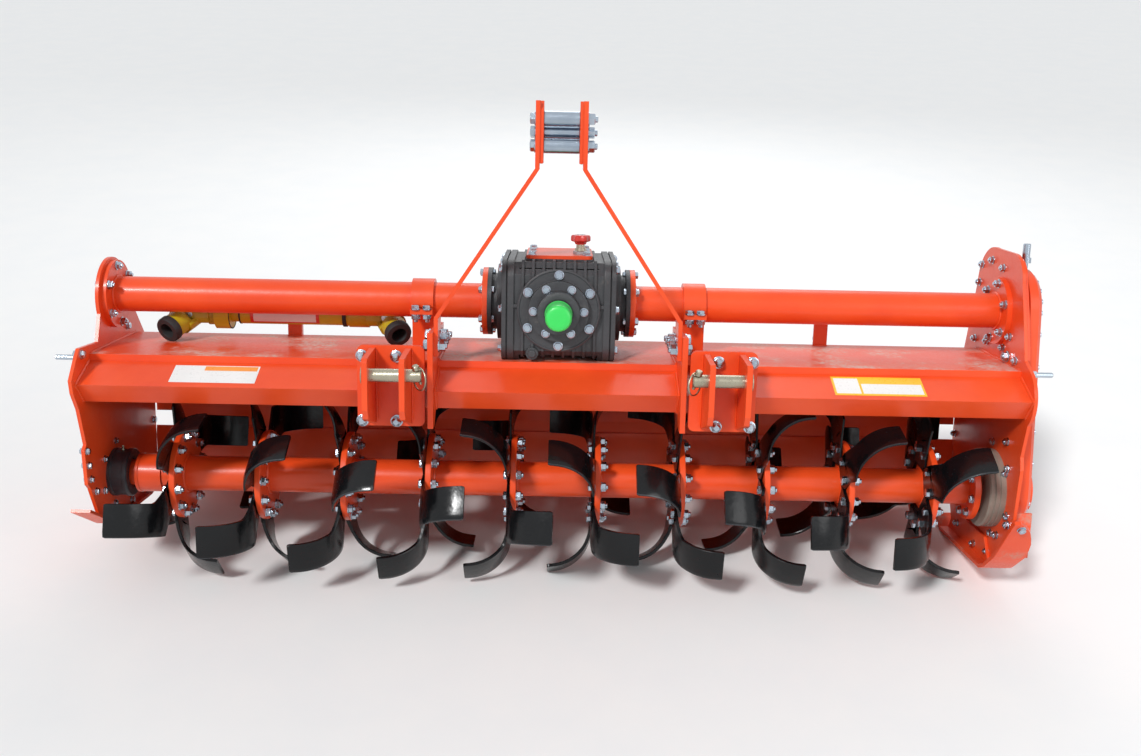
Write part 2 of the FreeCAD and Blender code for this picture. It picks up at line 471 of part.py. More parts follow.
# Tailboard chains, link after link along a path in the plane of the post
WIRE, LINK_IN, LINK_GAP = 6.0, 24.0, 4.0         # bar, inner length, half the inner width
PITCH = LINK_IN - 0.6
REST = LINK_GAP + WIRE + 0.3                     # chain's middle over what it lies on
ROLL_REST = REST + 0.9                           # the same on the round hood, for a straight link


def link():
    """One link along +X, flat in XY: an eight-sided ring of square bar."""
    def ring(r):
        a, q = LINK_IN / 2 - LINK_GAP + r, 0.4 * r
        c = [(-a, -q), (-a + r - q, -r), (a - r + q, -r), (a, -q), (a, q), (a - r + q, r), (-a + r - q, r), (-a, q)]
        return Part.Face(Part.makePolygon([V(x, y, -WIRE / 2) for x, y in c + c[:1]]))
    return ring(LINK_GAP + WIRE).cut(ring(LINK_GAP)).extrude(V(0, 0, WIRE))


def chain(path, x, turn):
    """Links along the YZ path at X = x, every other one on edge; turn is 1 if the first one is."""
    out, s = None, 0.0
    seg = [math.dist(path[k], path[k + 1]) for k in range(len(path) - 1)]
    while s + LINK_IN < sum(seg):
        ends = []
        for q in (s, s + PITCH):
            k = 0
            while k < len(seg) - 1 and q > seg[k]:
                q, k = q - seg[k], k + 1
            ends.append([path[k][m] + (path[k + 1][m] - path[k][m]) * q / seg[k] for m in (0, 1)])
        (y0, z0), (y1, z1) = ends
        one = link()
        one.rotate(V(0, 0, 0), V(1, 0, 0), 90 * turn)
        one.rotate(V(0, 0, 0), V(0, 0, 1), 90)
        one.rotate(V(0, 0, 0), V(1, 0, 0), math.degrees(math.atan2(z1 - z0, y1 - y0)))
        one.translate(V(x, (y0 + y1) / 2, (z0 + z1) / 2))
        out = one if out is None else out.fuse(one)
        s, turn = s + PITCH, 1 - turn
    return out


roll = Part.Arc(V(0, DECK_BACK, DECK_Z), V(0, *ROLL_MID), V(0, *ROLL_END)).toShape()
over = []
for p in roll.discretize(9)[1:]:
    d = (p - roll.Curve.Center).normalize() * ROLL_REST
    over.append((p.y + d.y, p.z + d.z))
HANG_LOW = 60.0
STUB = 60.0                # length of chain on the tailboard, from the lug to the hinge
lug_link = LUG_S + LUG_L + 1.8
slot_y = POST_Y + POST_T / 2
slotted = [(slot_y - PITCH / 2, SLOT_Z + REST), (slot_y + PITCH / 2, SLOT_Z + REST)]
for side, x in (("left", -POST_X), ("right", POST_X)):
    put("chain_" + side, chain(slotted + over + [(HOOD_REAR + ROLL_REST, HANG_LOW)], x, 1))
    put("flap_chain_" + side, chain([on_flap(lug_link, REST + h), on_flap(LUG_S - STUB, REST + h)], x, 0))

# Drive shaft laid on the deck behind the left tube: a guard in steps and a folded joint at each end
DS_Y, DS_Z = TUBE_Y + 71.0, DECK_Z + 61.0
DS_X0, DS_X1 = -826.0, -458.0
GUARD = [(36.0, 38.0), (24.0, 21.0), (246.0, 25.0), (8.0, 28.0), (54.0, 26.0)]      # length, radius, from the left
x, guard = DS_X0, None
for l, r in GUARD:
    part = rod_x(x, x + l, DS_Y, DS_Z, r)
    guard = part if guard is None else guard.fuse(part)
    x += l
put("driveline_guard", guard.removeSplitter())
HUB, HUB_R, HUB_BORE, FORK, FORK_R, FORK_H, FORK_W, SPAN, CROSS_R = 44.0, 29.0, 18.0, 46.0, 33.0, 32.0, 22.0, 15.0, 9.0
FOLD_YAW, FOLD_PITCH = 55.0, 40.8
HUB_SUNK = (30.0, 48.0)    # inner hub's length inside the guard, left and right


def yoke():
    """Fork along +X, its cross at the origin and its arms either side of it in Z, then a bored hub."""
    ears = fuse(box((0, FORK), (-FORK_W, FORK_W), (-FORK_H, FORK_H)), rod_z(-FORK_H, FORK_H, 0, 0, FORK_W))
    y = rod_x(FORK - 4, FORK + HUB, 0, 0, HUB_R).fuse(ears.common(rod_x(-FORK_W, FORK, 0, 0, FORK_R)))
    return y.cut(box((-FORK_W, FORK - 12), (-FORK_W - 1, FORK_W + 1), (-SPAN, SPAN))).cut(
        rod_x(FORK - 1, FORK + HUB + 1, 0, 0, HUB_BORE))


def joint(side):
    """Inner yoke on the guard's side, outer yoke folded forwards and down; side is -1 at the left end."""
    inner, outer = yoke(), mirrored(yoke())
    inner.rotate(V(0, 0, 0), V(1, 0, 0), 90)
    outer.rotate(V(0, 0, 0), V(0, 0, 1), FOLD_YAW)
    outer.rotate(V(0, 0, 0), V(0, 1, 0), -FOLD_PITCH)
    j = fuse(inner, outer, rod_y(-FORK_H, FORK_H, 0, 0, CROSS_R), rod_z(-FORK_H, FORK_H, 0, 0, CROSS_R))
    if side > 0:
        j = mirrored(j)
    reach = FORK + HUB - HUB_SUNK[side > 0]
    j.translate(V(DS_X0 - reach if side < 0 else DS_X1 + reach, DS_Y, DS_Z))
    return j.cut(guard)


put("driveline_joint", joint(-1))
put("driveline_yoke", joint(1))

# Park: lean the machine, then set it on the floor over the origin
park = FreeCAD.Placement(V(0, 0, 0), FreeCAD.Rotation(V(1, 0, 0), -PARK_DEG))
for s in pieces.values():
    s.Placement = park.multiply(s.Placement)
bb = FreeCAD.BoundBox()
for s in pieces.values():
    bb.add(s.optimalBoundingBox(True, False))
shift = V(-(bb.XMin + bb.XMax) / 2, -(bb.YMin + bb.YMax) / 2, -bb.ZMin)
print("shift", tuple(round(c, 4) for c in shift))
for name, s in pieces.items():
    s.translate(shift)
    s.exportStep("parts/%s.step" % name)
print(len(pieces), "pieces")
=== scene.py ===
import json
import math
import random

import bmesh
import bpy
from mathutils import Matrix, Vector


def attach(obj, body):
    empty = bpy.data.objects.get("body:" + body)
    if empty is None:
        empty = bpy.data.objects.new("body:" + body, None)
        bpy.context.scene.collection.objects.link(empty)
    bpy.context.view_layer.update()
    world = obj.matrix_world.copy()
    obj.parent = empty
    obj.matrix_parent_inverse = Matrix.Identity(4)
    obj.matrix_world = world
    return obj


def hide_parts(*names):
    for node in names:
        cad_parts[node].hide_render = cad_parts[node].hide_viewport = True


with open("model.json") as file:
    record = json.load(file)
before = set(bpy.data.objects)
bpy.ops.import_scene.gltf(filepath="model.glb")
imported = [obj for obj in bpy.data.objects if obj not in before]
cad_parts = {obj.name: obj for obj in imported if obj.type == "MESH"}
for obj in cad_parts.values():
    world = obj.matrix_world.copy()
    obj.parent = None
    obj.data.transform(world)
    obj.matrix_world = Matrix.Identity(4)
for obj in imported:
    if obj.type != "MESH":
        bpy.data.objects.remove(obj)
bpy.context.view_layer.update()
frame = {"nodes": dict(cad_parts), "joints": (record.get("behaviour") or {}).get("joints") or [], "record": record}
NODES = frame["nodes"]

# The machine's own level frame in mm, with the rotor's axis at y = z = 0, and its nose-up lean on the floor
LEAN = math.radians(-12.3)
SPIN = next(j for j in frame["joints"] if j["name"] == "rotor_spin")
LEVEL = Matrix.Translation(Vector(SPIN["pos_m"])) @ Matrix.Rotation(LEAN, 4, "X") @ Matrix.Scale(0.001, 4)

# Sizes and places in the level frame, as the part's source has them
IN_X, OUT_X = 1046.0, 1054.0                          # faces of a side plate
DECK_Z, DECK_BACK, HOOD_REAR = 305.0, 190.0, 299.0
TUBE_Y, TUBE_Z, TUBE_R = 60.0, 418.0, 41.0            # cross tubes; the rotor's tube has their radius
TUBE_BOLTS_R = 67.0                                   # bolt circle of a cross tube's flanges
NOSE, BEAM_TOP = (-188.0, 252.0), (-104.0, 290.0)     # front beam: its fold and its upper edge
HINGE_Y, HINGE_Z = 304.0, -2.0
FLAP_HALF, FLAP_Y = IN_X - 50.0, 475.0                # tailboard: half its width, its lower edge
PTO_Z = TUBE_Z + 6.0
COVER_Y, STEP_Y, NECK_Y = -116.0, -132.0, -160.0      # fronts of the gearbox cover's steps
HEAD_HOLES = ((-162, 838), (-140, 810), (-162, 782))  # bolts and bushes of the mast head
PIN_Y, PIN_Z = -280, 306                              # lower hitch pins
CASE_X, CASE_Y, CASE_Z = OUT_X + 58.0, 62, 425        # gear case: its lid's face, its upper shaft
X, Y, Z = Vector((1, 0, 0)), Vector((0, 1, 0)), Vector((0, 0, 1))
BOTH = (-1, 1)


# Materials
def linear(c):
    return c / 12.92 if c <= 0.04045 else ((c + 0.055) / 1.055) ** 2.4


def rgb(r, g, b):
    """Linear colour from 0 to 255 display values."""
    return (linear(r / 255), linear(g / 255), linear(b / 255), 1.0)


def ramp(nt, fac, stops):
    """Colour by fac, between two stops of (position, colour)."""
    n = nt.nodes.new("ShaderNodeValToRGB")
    e = n.color_ramp.elements
    e[0].position, e[0].color = stops[0][0], stops[0][1]
    e[1].position, e[1].color = stops[1][0], stops[1][1]
    nt.links.new(fac, n.inputs[0])
    return n.outputs[0]


def noise(nt, coord, scale, detail, rough):
    n = nt.nodes.new("ShaderNodeTexNoise")
    n.inputs["Scale"].default_value = scale
    n.inputs["Detail"].default_value = detail
    n.inputs["Roughness"].default_value = rough
    nt.links.new(coord, n.inputs["Vector"])
    return n.outputs["Fac"]


def mix(nt, fac, a, b):
    """Colour a where fac is 0, b where it is 1; a and b are sockets or colours."""
    n = nt.nodes.new("ShaderNodeMix")
    n.data_type = "RGBA"
    nt.links.new(fac, n.inputs[0])
    for s, v in ((n.inputs[6], a), (n.inputs[7], b)):
        if isinstance(v, tuple):
            s.default_value = v
        else:
            nt.links.new(v, s)
    return n.outputs[2]


def times(nt, a, b):
    n = nt.nodes.new("ShaderNodeMath")
    n.operation = "MULTIPLY"
    n.use_clamp = True
    nt.links.new(a, n.inputs[0])
    nt.links.new(b, n.inputs[1])
    return n.outputs[0]


def grey(v):
    return (v, v, v, 1.0)


def finish_of(name, base, shade, rough, metallic=0.0, coat=0.0, grain=(900.0, 0.0002), lump=(60.0, 0.0),
              dust=None, dust_at=(0.5, 0.75), dust_scale=7.0, up_only=False, edge=0.0, spec=0.5):
    """A surface: base colour varied to shade, roughness from a to b, soft lumps and fine grain as bumps of
    (scale, depth in metres), edges rounded by a radius in metres, and an optional layer of dust in patches,
    only on faces that look up if up_only."""
    m = bpy.data.materials.new(name)
    m.use_nodes = True
    nt = m.node_tree
    p = nt.nodes["Principled BSDF"]
    tc = nt.nodes.new("ShaderNodeTexCoord").outputs["Object"]
    broad = noise(nt, tc, 5.0, 5.0, 0.6)
    fine = noise(nt, tc, 140.0, 3.0, 0.6)
    colour = mix(nt, ramp(nt, broad, [(0.35, grey(0)), (0.7, grey(1))]), base, shade)
    r = ramp(nt, fine, [(0.3, grey(rough[0])), (0.7, grey(rough[1]))])
    if dust:
        patch = ramp(nt, noise(nt, tc, dust_scale, 8.0, 0.68),
                     [(dust_at[0], grey(0)), (dust_at[1], grey(1))])
        speck = ramp(nt, noise(nt, tc, 90.0, 4.0, 0.7), [(0.4, grey(0.25)), (0.62, grey(1))])
        layer = times(nt, patch, speck)
        if up_only:
            g = nt.nodes.new("ShaderNodeNewGeometry")
            s = nt.nodes.new("ShaderNodeSeparateXYZ")
            nt.links.new(g.outputs["Normal"], s.inputs[0])
            layer = times(nt, layer, ramp(nt, s.outputs[2], [(0.75, grey(0)), (0.95, grey(1))]))
        colour = mix(nt, layer, colour, dust)
        r = mix(nt, layer, r, grey(0.85))
    nt.links.new(colour, p.inputs["Base Color"])
    nt.links.new(r, p.inputs["Roughness"])
    p.inputs["Metallic"].default_value = metallic
    p.inputs["Specular IOR Level"].default_value = spec
    if coat:
        p.inputs["Coat Weight"].default_value = coat
        p.inputs["Coat Roughness"].default_value = 0.12
    normal = None
    if edge:
        v = nt.nodes.new("ShaderNodeBevel")
        v.samples = 4
        v.inputs["Radius"].default_value = edge
        normal = v.outputs[0]
    for scale, depth in (lump, grain):
        if depth:
            b = nt.nodes.new("ShaderNodeBump")
            b.inputs["Distance"].default_value = depth
            nt.links.new(noise(nt, tc, scale, 3.0, 0.6), b.inputs["Height"])
            if normal:
                nt.links.new(normal, b.inputs["Normal"])
            normal = b.outputs[0]
    if normal:
        nt.links.new(normal, p.inputs["Normal"])
    return m


ORANGE, ORANGE_DARK = rgb(232, 80, 32), rgb(220, 68, 26)
PAINTED = {"coat": 0.1, "lump": (25.0, 0.0006), "edge": 0.0015, "spec": 0.36}
PAINT = finish_of("orange_paint", ORANGE, ORANGE_DARK, (0.3, 0.38), grain=(700.0, 0.00015), **PAINTED)
DECK_PAINT = finish_of("deck_paint", ORANGE, ORANGE_DARK, (0.32, 0.42), grain=(700.0, 0.00015),
                       dust=rgb(214, 190, 178), dust_at=(0.47, 0.62), dust_scale=6.0, up_only=True, **PAINTED)
SKID_PAINT = finish_of("worn_paint", ORANGE, ORANGE_DARK, (0.35, 0.5), dust=rgb(176, 160, 146),
                       dust_at=(0.56, 0.72), dust_scale=11.0, **PAINTED)
BLACK = finish_of("black_gloss", rgb(15, 16, 18), rgb(9, 10, 12), (0.16, 0.28), grain=(300.0, 0.00006),
                  lump=(22.0, 0.001), spec=0.3)
# Lighter grey for the bevels of the black blades: a painted highlight on them
BEVEL_HIGHLIGHT = finish_of("bevel_painted_highlight", rgb(44, 46, 50), rgb(24, 26, 30), (0.2, 0.3), grain=(300.0, 0.0001))
CAST = finish_of("black_casting", rgb(60, 61, 64), rgb(46, 47, 50), (0.38, 0.52), grain=(420.0, 0.0006),
                 lump=(90.0, 0.0012), dust=rgb(130, 124, 116), dust_at=(0.6, 0.85), dust_scale=16.0, edge=0.002)
HUB_DARK = finish_of("dark_hub", rgb(44, 48, 54), rgb(32, 34, 38), (0.3, 0.45), coat=0.15,
                     grain=(420.0, 0.0004), edge=0.0015)
HUB_GREY = finish_of("grey_casting", rgb(158, 148, 136), rgb(122, 112, 102), (0.42, 0.6), metallic=0.2,
                     grain=(380.0, 0.0006), lump=(70.0, 0.0012))
GREEN = finish_of("green_plastic", rgb(56, 212, 92), rgb(48, 198, 82), (0.28, 0.36), coat=0.15,
                  grain=(800.0, 0.0001), lump=(30.0, 0.0008))
STEEL = finish_of("bright_steel", rgb(188, 190, 192), rgb(156, 158, 162), (0.25, 0.4), metallic=1.0)
ZINC = finish_of("zinc_plate", rgb(192, 202, 212), rgb(152, 164, 178), (0.12, 0.26), metallic=1.0)
CHAIN = finish_of("chain_zinc", rgb(148, 162, 180), rgb(116, 128, 146), (0.3, 0.45), metallic=0.9)
BRASSY = finish_of("yellow_zinc", rgb(184, 178, 158), rgb(150, 142, 122), (0.22, 0.38), metallic=1.0)
YELLOW = finish_of("yellow_plastic", rgb(202, 182, 24), rgb(184, 164, 18), (0.42, 0.55),
                   dust=rgb(150, 138, 80), dust_at=(0.55, 0.8))
YELLOW_PAINT = finish_of("yellow_paint", rgb(190, 174, 26), rgb(164, 148, 20), (0.38, 0.5), coat=0.1,
                         lump=(60.0, 0.001), dust=rgb(96, 84, 50), dust_at=(0.52, 0.75), edge=0.002)
RUBBER = finish_of("black_rubber", rgb(34, 34, 35), rgb(26, 26, 27), (0.6, 0.75))
WHITE_FILM = finish_of("white_film", rgb(232, 232, 230), rgb(220, 220, 218), (0.25, 0.35))
YELLOW_FILM = finish_of("yellow_film", rgb(236, 190, 40), rgb(228, 176, 32), (0.25, 0.35))
ORANGE_FILM = finish_of("orange_film", rgb(240, 150, 60), rgb(232, 140, 52), (0.25, 0.35))
RED_FILM = finish_of("red_film", rgb(214, 60, 40), rgb(204, 52, 34), (0.3, 0.4))
RED_KNOB = finish_of("red_plastic", rgb(206, 44, 34), rgb(180, 36, 28), (0.25, 0.35), coat=0.3)

BY_SLOT = {"orange_red_paint": PAINT, "black_blade": BLACK, "black_casting": CAST, "grey_casting": HUB_GREY,
           "green_plastic": GREEN, "bright_steel": STEEL, "yellow_zinc": BRASSY, "zinc_chain": CHAIN,
           "yellow_plastic": YELLOW, "yellow_paint": YELLOW_PAINT}
BY_NODE = {"deck": DECK_PAINT, "rear_hood": DECK_PAINT, "skid_left": SKID_PAINT, "tailboard": SKID_PAINT}
SLOT_OF = {s["node"]: s["material_slot"] for s in frame["record"]["subparts"]}
for name, ob in NODES.items():
    ob.data.materials.clear()
    ob.data.materials.append(BY_NODE.get(name, BY_SLOT[SLOT_OF[name]]))


# Shapes
def basis(axis):
    """Matrix that turns +Z onto axis."""
    return Vector(axis).normalized().to_track_quat("Z", "Y").to_matrix().to_4x4()


class Lot:
    """Shapes in the level frame that end up as one piece."""

    def __init__(self, name, body, material, slot=None, more=()):
        self.name, self.body, self.slot = name, body, slot
        self.materials = [material, *more]
        self.v, self.f, self.k = [], [], []
        self.m = Matrix.Identity(4)

    def add(self, verts, faces, mat=0):
        n = len(self.v)
        self.v += [self.m @ Vector(p) for p in verts]
        self.f += [[i + n for i in f] for f in faces]
        self.k += [mat] * len(faces)

    def lathe(self, at, axis, profile, n=20, turn=0.0, mat=0, squash=None):
        """Profile of (height along axis, radius) pairs turned about axis; a radius of 0 closes an end."""
        t = Matrix.Translation(Vector(at)) @ basis(axis)
        verts, rows = [], []
        for h, r in profile:
            if r < 1e-6:
                rows.append([len(verts)])
                verts.append(t @ Vector((0, 0, h)))
                continue
            rows.append(list(range(len(verts), len(verts) + n)))
            for i in range(n):
                a = 2 * math.pi * i / n + turn
                q = r * (squash(a) if squash else 1.0)
                verts.append(t @ Vector((q * math.cos(a), q * math.sin(a), h)))
        faces = []
        for a, b in zip(rows, rows[1:]):
            for i in range(n):
                j = (i + 1) % n
                if len(a) == 1:
                    faces.append([a[0], b[j], b[i]])
                elif len(b) == 1:
                    faces.append([a[i], a[j], b[0]])
                else:
                    faces.append([a[i], a[j], b[j], b[i]])
        self.add(verts, faces, mat)

    def tube(self, pts, r, n=8, closed=False, mat=0):
        """Round bar along points; r is a radius, or one for each point."""
        pts = [Vector(p) for p in pts]
        rs = r if isinstance(r, list) else [r] * len(pts)
        verts, faces, side = [], [], None
        for i, p in enumerate(pts):
            before = pts[i - 1] if i or closed else p
            after = pts[(i + 1) % len(pts)] if i < len(pts) - 1 or closed else p
            d = (after - before).normalized()
            if side is None:
                side = d.orthogonal().normalized()
            side = (side - d * side.dot(d)).normalized()
            up = d.cross(side)
            for k in range(n):
                w = 2 * math.pi * k / n
                verts.append(p + (side * math.cos(w) + up * math.sin(w)) * rs[i])
        for i in range(len(pts) if closed else len(pts) - 1):
            for k in range(n):
                a, b, j = i * n, (i + 1) % len(pts) * n, (k + 1) % n
                faces.append([a + k, a + j, b + j, b + k])
        if not closed:
            faces += [list(range(n))[::-1], list(range(len(verts) - n, len(verts)))]
        self.add(verts, faces, mat)

    def slab(self, outline, depth, mat=0):
        """Flat outline (points in order) made solid by the vector depth."""
        n = len(outline)
        verts = [Vector(p) for p in outline] + [Vector(p) + Vector(depth) for p in outline]
        faces = [list(range(n))[::-1], list(range(n, 2 * n))]
        faces += [[i, (i + 1) % n, n + (i + 1) % n, n + i] for i in range(n)]
        self.add(verts, faces, mat)

    def bolt(self, at, axis, m=12.0, turn=0.3, stub=0.0, dome=False, washer=True, mat=0):
        """Hexagon head or nut of thread size m on a washer; stub is the thread that stands out of a nut."""
        at, axis = Vector(at), Vector(axis).normalized()
        h0 = 0.2 * m if washer else 0.0
        if washer:
            rim = 1.08 * m
            plain = [(-0.5, 0), (-0.5, rim), (h0 - 0.4, rim), (h0, 1.02 * m), (h0, 0)]
            self.lathe(at, axis, plain, 20, mat=mat)
        r, top = 0.92 * m, h0 + (0.85 if stub or dome else 0.66) * m
        hexagon = [(h0 - 0.3, 0), (h0 - 0.3, r), (top - 0.13 * m, r), (top, 0.8 * m), (top, 0)]
        self.lathe(at, axis, hexagon, 6, turn, mat)
        if stub:
            self.lathe(at, axis, [(top - 1, 0), (top - 1, 0.48 * m), (top + stub - 1.2, 0.48 * m),
                                  (top + stub, 0.36 * m), (top + stub, 0)], 12, mat=mat)
        elif dome:
            self.lathe(at, axis, [(top - 1, 0), (top - 1, 0.76 * m), (top + 0.2 * m, 0.7 * m),
                                  (top + 0.45 * m, 0.45 * m), (top + 0.55 * m, 0)], 14, mat=mat)
        else:
            self.lathe(at, axis, [(top - 0.5, 0), (top - 0.5, 0.5 * m), (top + 0.5, 0.45 * m), (top + 0.5, 0)],
                       12, mat=mat)

    def weld(self, pts, r=3.2, pitch=4.0):
        """Bead of weld along a line, in even ripples, with thin ends."""
        line = []
        for a, b in zip(pts, pts[1:]):
            a, b = Vector(a), Vector(b)
            n = max(1, round((b - a).length / pitch))
            line += [a.lerp(b, i / n) for i in range(n)]
        line.append(Vector(pts[-1]))
        ends = (0, len(line) - 1)
        self.tube(line, [r * (0.55 if i in ends else 1.0 + 0.14 * (-1) ** i) for i in range(len(line))], 7)

    def ring_weld(self, at, axis, radius, r=3.2, mat=0):
        t = Matrix.Translation(Vector(at)) @ basis(axis)
        n = max(24, round(2 * math.pi * radius / 5.0 / 2) * 2)
        pts = [t @ Vector((radius * math.cos(2 * math.pi * i / n), radius * math.sin(2 * math.pi * i / n), 0))
               for i in range(n)]
        self.tube(pts, [r * (1.0 + 0.14 * (-1) ** i) for i in range(n)], 7, True, mat)

    def done(self, replaces=(), smooth=32.0, bevel=0.0):
        me = bpy.data.meshes.new(self.name)
        me.from_pydata([LEVEL @ p for p in self.v], [], self.f)
        bm = bmesh.new()
        bm.from_mesh(me)
        bmesh.ops.recalc_face_normals(bm, faces=bm.faces)
        bm.to_mesh(me)
        bm.free()
        for p, k in zip(me.polygons, self.k):
            p.material_index = k
        for m in self.materials:
            me.materials.append(m)
        me.shade_smooth()
        me.set_sharp_from_angle(angle=math.radians(smooth))
        ob = bpy.data.objects.new(self.name, me)
        bpy.context.scene.collection.objects.link(ob)
        if bevel:
            b = ob.modifiers.new("bevel", "BEVEL")
            b.width, b.segments, b.harden_normals = bevel, 2, True
            b.limit_method, b.angle_limit = "ANGLE", math.radians(40)
        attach(ob, self.body)
        if replaces:
            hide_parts(*replaces)


rnd = random.Random(7)      # each head's turn on its bolt; the order of the draws sets the looks

# Gearbox: two rings of bolts on the stepped cover, then the tube flanges, the side covers and the top plate
SIDE_COVER_X, TOP_Z = 127, 540
FLANGE_FACES = (177, 155)               # outer and inner face of a tube's flange at the gearbox
SIDE_COVER_BOLTS = ((-94, 514), (-94, 334), (162, 514), (162, 334), (-96, 424), (164, 424), (60, 521), (0, 517),
                    (120, 517))
gearbox = Lot("gearbox_bolts", "frame", ZINC, "bright_steel")
for i in range(6):
    for r, y, deg, m in ((79.0, COVER_Y, 30 + 60 * i, 10.0), (56.0, STEP_Y, 60 * i, 9.0)):
        a = math.radians(deg)
        gearbox.bolt((r * math.cos(a), y, PTO_Z + r * math.sin(a)), -Y, m, rnd.uniform(0, 1))
for sx in BOTH:
    for i in range(6):
        a = math.radians(90 + 60 * i)
        y, z = TUBE_Y + TUBE_BOLTS_R * math.cos(a), TUBE_Z + TUBE_BOLTS_R * math.sin(a)
        gearbox.bolt((sx * FLANGE_FACES[0], y, z), X * sx, 9.5, rnd.uniform(0, 1))
        gearbox.bolt((sx * FLANGE_FACES[1], y, z), -X * sx, 9.5, rnd.uniform(0, 1), washer=False)
    for y, z in SIDE_COVER_BOLTS:
        gearbox.bolt((sx * SIDE_COVER_X, y, z), X * sx, 9.0, rnd.uniform(0, 1))
for x, y in ((-62, -46), (62, -46), (-62, 106), (62, 106), (-62, 30), (62, 30)):
    gearbox.bolt((x, y, TOP_Z), Z, 9.0, rnd.uniform(0, 1))
gearbox.done()

# Cover's raised rings, its rubber seal, the rims of the side covers, a rib and the drain plug
SEAM_Y, DRAIN_X, DRAIN_Z = -109.5, -58, 326
cover = Lot("gearbox_cover_details", "frame", CAST, "black_casting", more=(RUBBER,))
cover.lathe((0, COVER_Y, PTO_Z), -Y, [(-0.5, 92.5), (1.2, 90.0), (1.2, 88.0), (-0.5, 86)], 48)
cover.lathe((0, STEP_Y, PTO_Z), -Y, [(-0.5, 48), (6, 47.5), (18, 45), (28, 42)], 40)
cover.lathe((0, NECK_Y, PTO_Z), -Y, [(-0.5, 46.5), (0.6, 44), (0.6, 32), (-1, 30)], 40)
cover.lathe((0, NECK_Y, PTO_Z), -Y, [(-0.5, 31), (3.0, 30), (3.0, 18), (-0.5, 17.8)], 32, mat=1)
for sx in BOTH:
    cover.lathe((sx * SIDE_COVER_X, TUBE_Y, TUBE_Z), X * sx, [(-0.5, 92), (4, 89), (4, 86)], 40)
cover.slab([(-100, SEAM_Y, 436), (100, SEAM_Y, 436), (100, SEAM_Y, 428), (-100, SEAM_Y, 428)], (0, 3, 0))
cover.lathe((DRAIN_X, -104, DRAIN_Z), -Y, [(-1, 0), (-1, 15), (9, 14), (9, 0)], 18)
cover.lathe((DRAIN_X, -113, DRAIN_Z), -Y, [(-1, 0), (-1, 9.5), (5, 9.5), (6, 8), (6, 0)], 6)
cover.done()

# Breather: hexagon, brass neck, fluted red knob and its top
FILL = (47.0, -20.0, TOP_Z)
breather = Lot("breather", "frame", STEEL, "bright_steel", more=(RED_KNOB, BRASSY))
breather.lathe(FILL, Z, [(-0.5, 0), (-0.5, 16.5), (7, 16.5), (8.5, 14.5), (8.5, 0)], 6)
breather.lathe(FILL, Z, [(8, 0), (8, 13), (14, 12.5), (14, 10), (24, 9.5), (26, 9.5)], 20, mat=2)
breather.lathe(FILL, Z, [(23, 0), (23, 12), (28, 14), (29.5, 20), (32, 22.5), (40, 22.5), (43.5, 20),
                         (44.5, 14), (44.5, 0)], 60, mat=1, squash=lambda a: 0.93 + 0.07 * math.cos(6 * a))
breather.lathe(FILL, Z, [(44, 0), (44, 9), (45.8, 8), (45.8, 0)], 20)
breather.done(replaces=["filler_cap"])

cap = Lot("input_cap", "pto_input", GREEN, "green_plastic")
cap.lathe((0, NECK_Y, PTO_Z), -Y, [(8.2, 27), (8.2, 30), (12, 30), (12.6, 29.2), (30, 29.4), (62, 28.8),
                                   (67, 27.6), (70, 25), (71.7, 21), (72, 16), (71.4, 8), (71.2, 0)], 56)
cap.lathe((0, NECK_Y, PTO_Z), -Y, [(8.2, 27), (66, 26), (66, 0)], 56)
cap.done(replaces=["pto_cap"], smooth=25)

# Mast: bolts through the head, and through each foot a pair in the beam's ear and a row of three behind it
mast = Lot("mast_bolts", "frame", ZINC, "bright_steel")
for sx in BOTH:
    for y, z in HEAD_HOLES:
        mast.bolt((sx * 55, y, z), X * sx, 14.0, rnd.uniform(0, 1), stub=6.0 if sx > 0 else 0.0)
    for nut_x, stub, places in ((259, 5.0, ((-176, 352), (-142, 368))),
                                (268, 9.0, ((-96, 348), (-58, 349), (-20, 350)))):
        for y, z in places:
            mast.bolt((sx * nut_x, y, z), -X * sx, 14.0, rnd.uniform(0, 1), stub=stub)
            mast.bolt((sx * 280, y, z), X * sx, 14.0, rnd.uniform(0, 1))
mast.done()

# Welds: mast feet, hitch ears, side plates, head plates, tube flanges, clamp blocks, chain posts, knuckles
POST_X = 650.0
DECK_BEAD, BLOCK_BEAD = DECK_Z + 1, 306
KNUCKLES = (-0.94, -0.48, 0.0, 0.48, 0.94)      # shares of the tailboard's half width
welds = Lot("frame_welds", "frame", PAINT, "orange_red_paint")
for sx in BOTH:
    for x in (266.5, 281.5):
        welds.weld([(sx * x, -149.4, 204), (sx * x, -188.8, 252), (sx * x, -104.5, 291)])
        welds.weld([(sx * x, -102, DECK_BEAD), (sx * x, 22, DECK_BEAD)])
    for x in (313.5, 328.5, 390.5, 405.5):
        welds.weld([(sx * x, -198.5, 186), (sx * x, -198.5, 346)], 2.8)
        welds.weld([(sx * x, -188, 348), (sx * x, -106, 307)], 2.4)
    welds.weld([(sx * IN_X, -149.4, 205), (sx * IN_X, -189, 252), (sx * IN_X, -104, 292)])
    welds.weld([(sx * IN_X, -98, DECK_BEAD), (sx * IN_X, 188, DECK_BEAD)])
    welds.weld([(sx * 46, -186, 746), (sx * 46, -186, 874)], 2.6)
    for y in (-164, -186):
        welds.weld([(sx * 38, y, 747), (sx * 46, y, 747)], 2.4)
    for x in (178, 1033):
        welds.ring_weld((sx * x, TUBE_Y, TUBE_Z), X, TUBE_R + 1, 3.6)
    welds.weld([(sx * x, y, BLOCK_BEAD) for x, y in ((290, 38), (290, 82), (344, 82), (344, 38), (290, 38))])
    welds.weld([(sx * POST_X - 18, 172, BLOCK_BEAD), (sx * POST_X + 18, 172, BLOCK_BEAD)], 2.6)
for cx in [k * FLAP_HALF for k in KNUCKLES]:
    welds.weld([(cx - 29, 301, 21), (cx + 29, 301, 21)], 2.8)
welds.done()

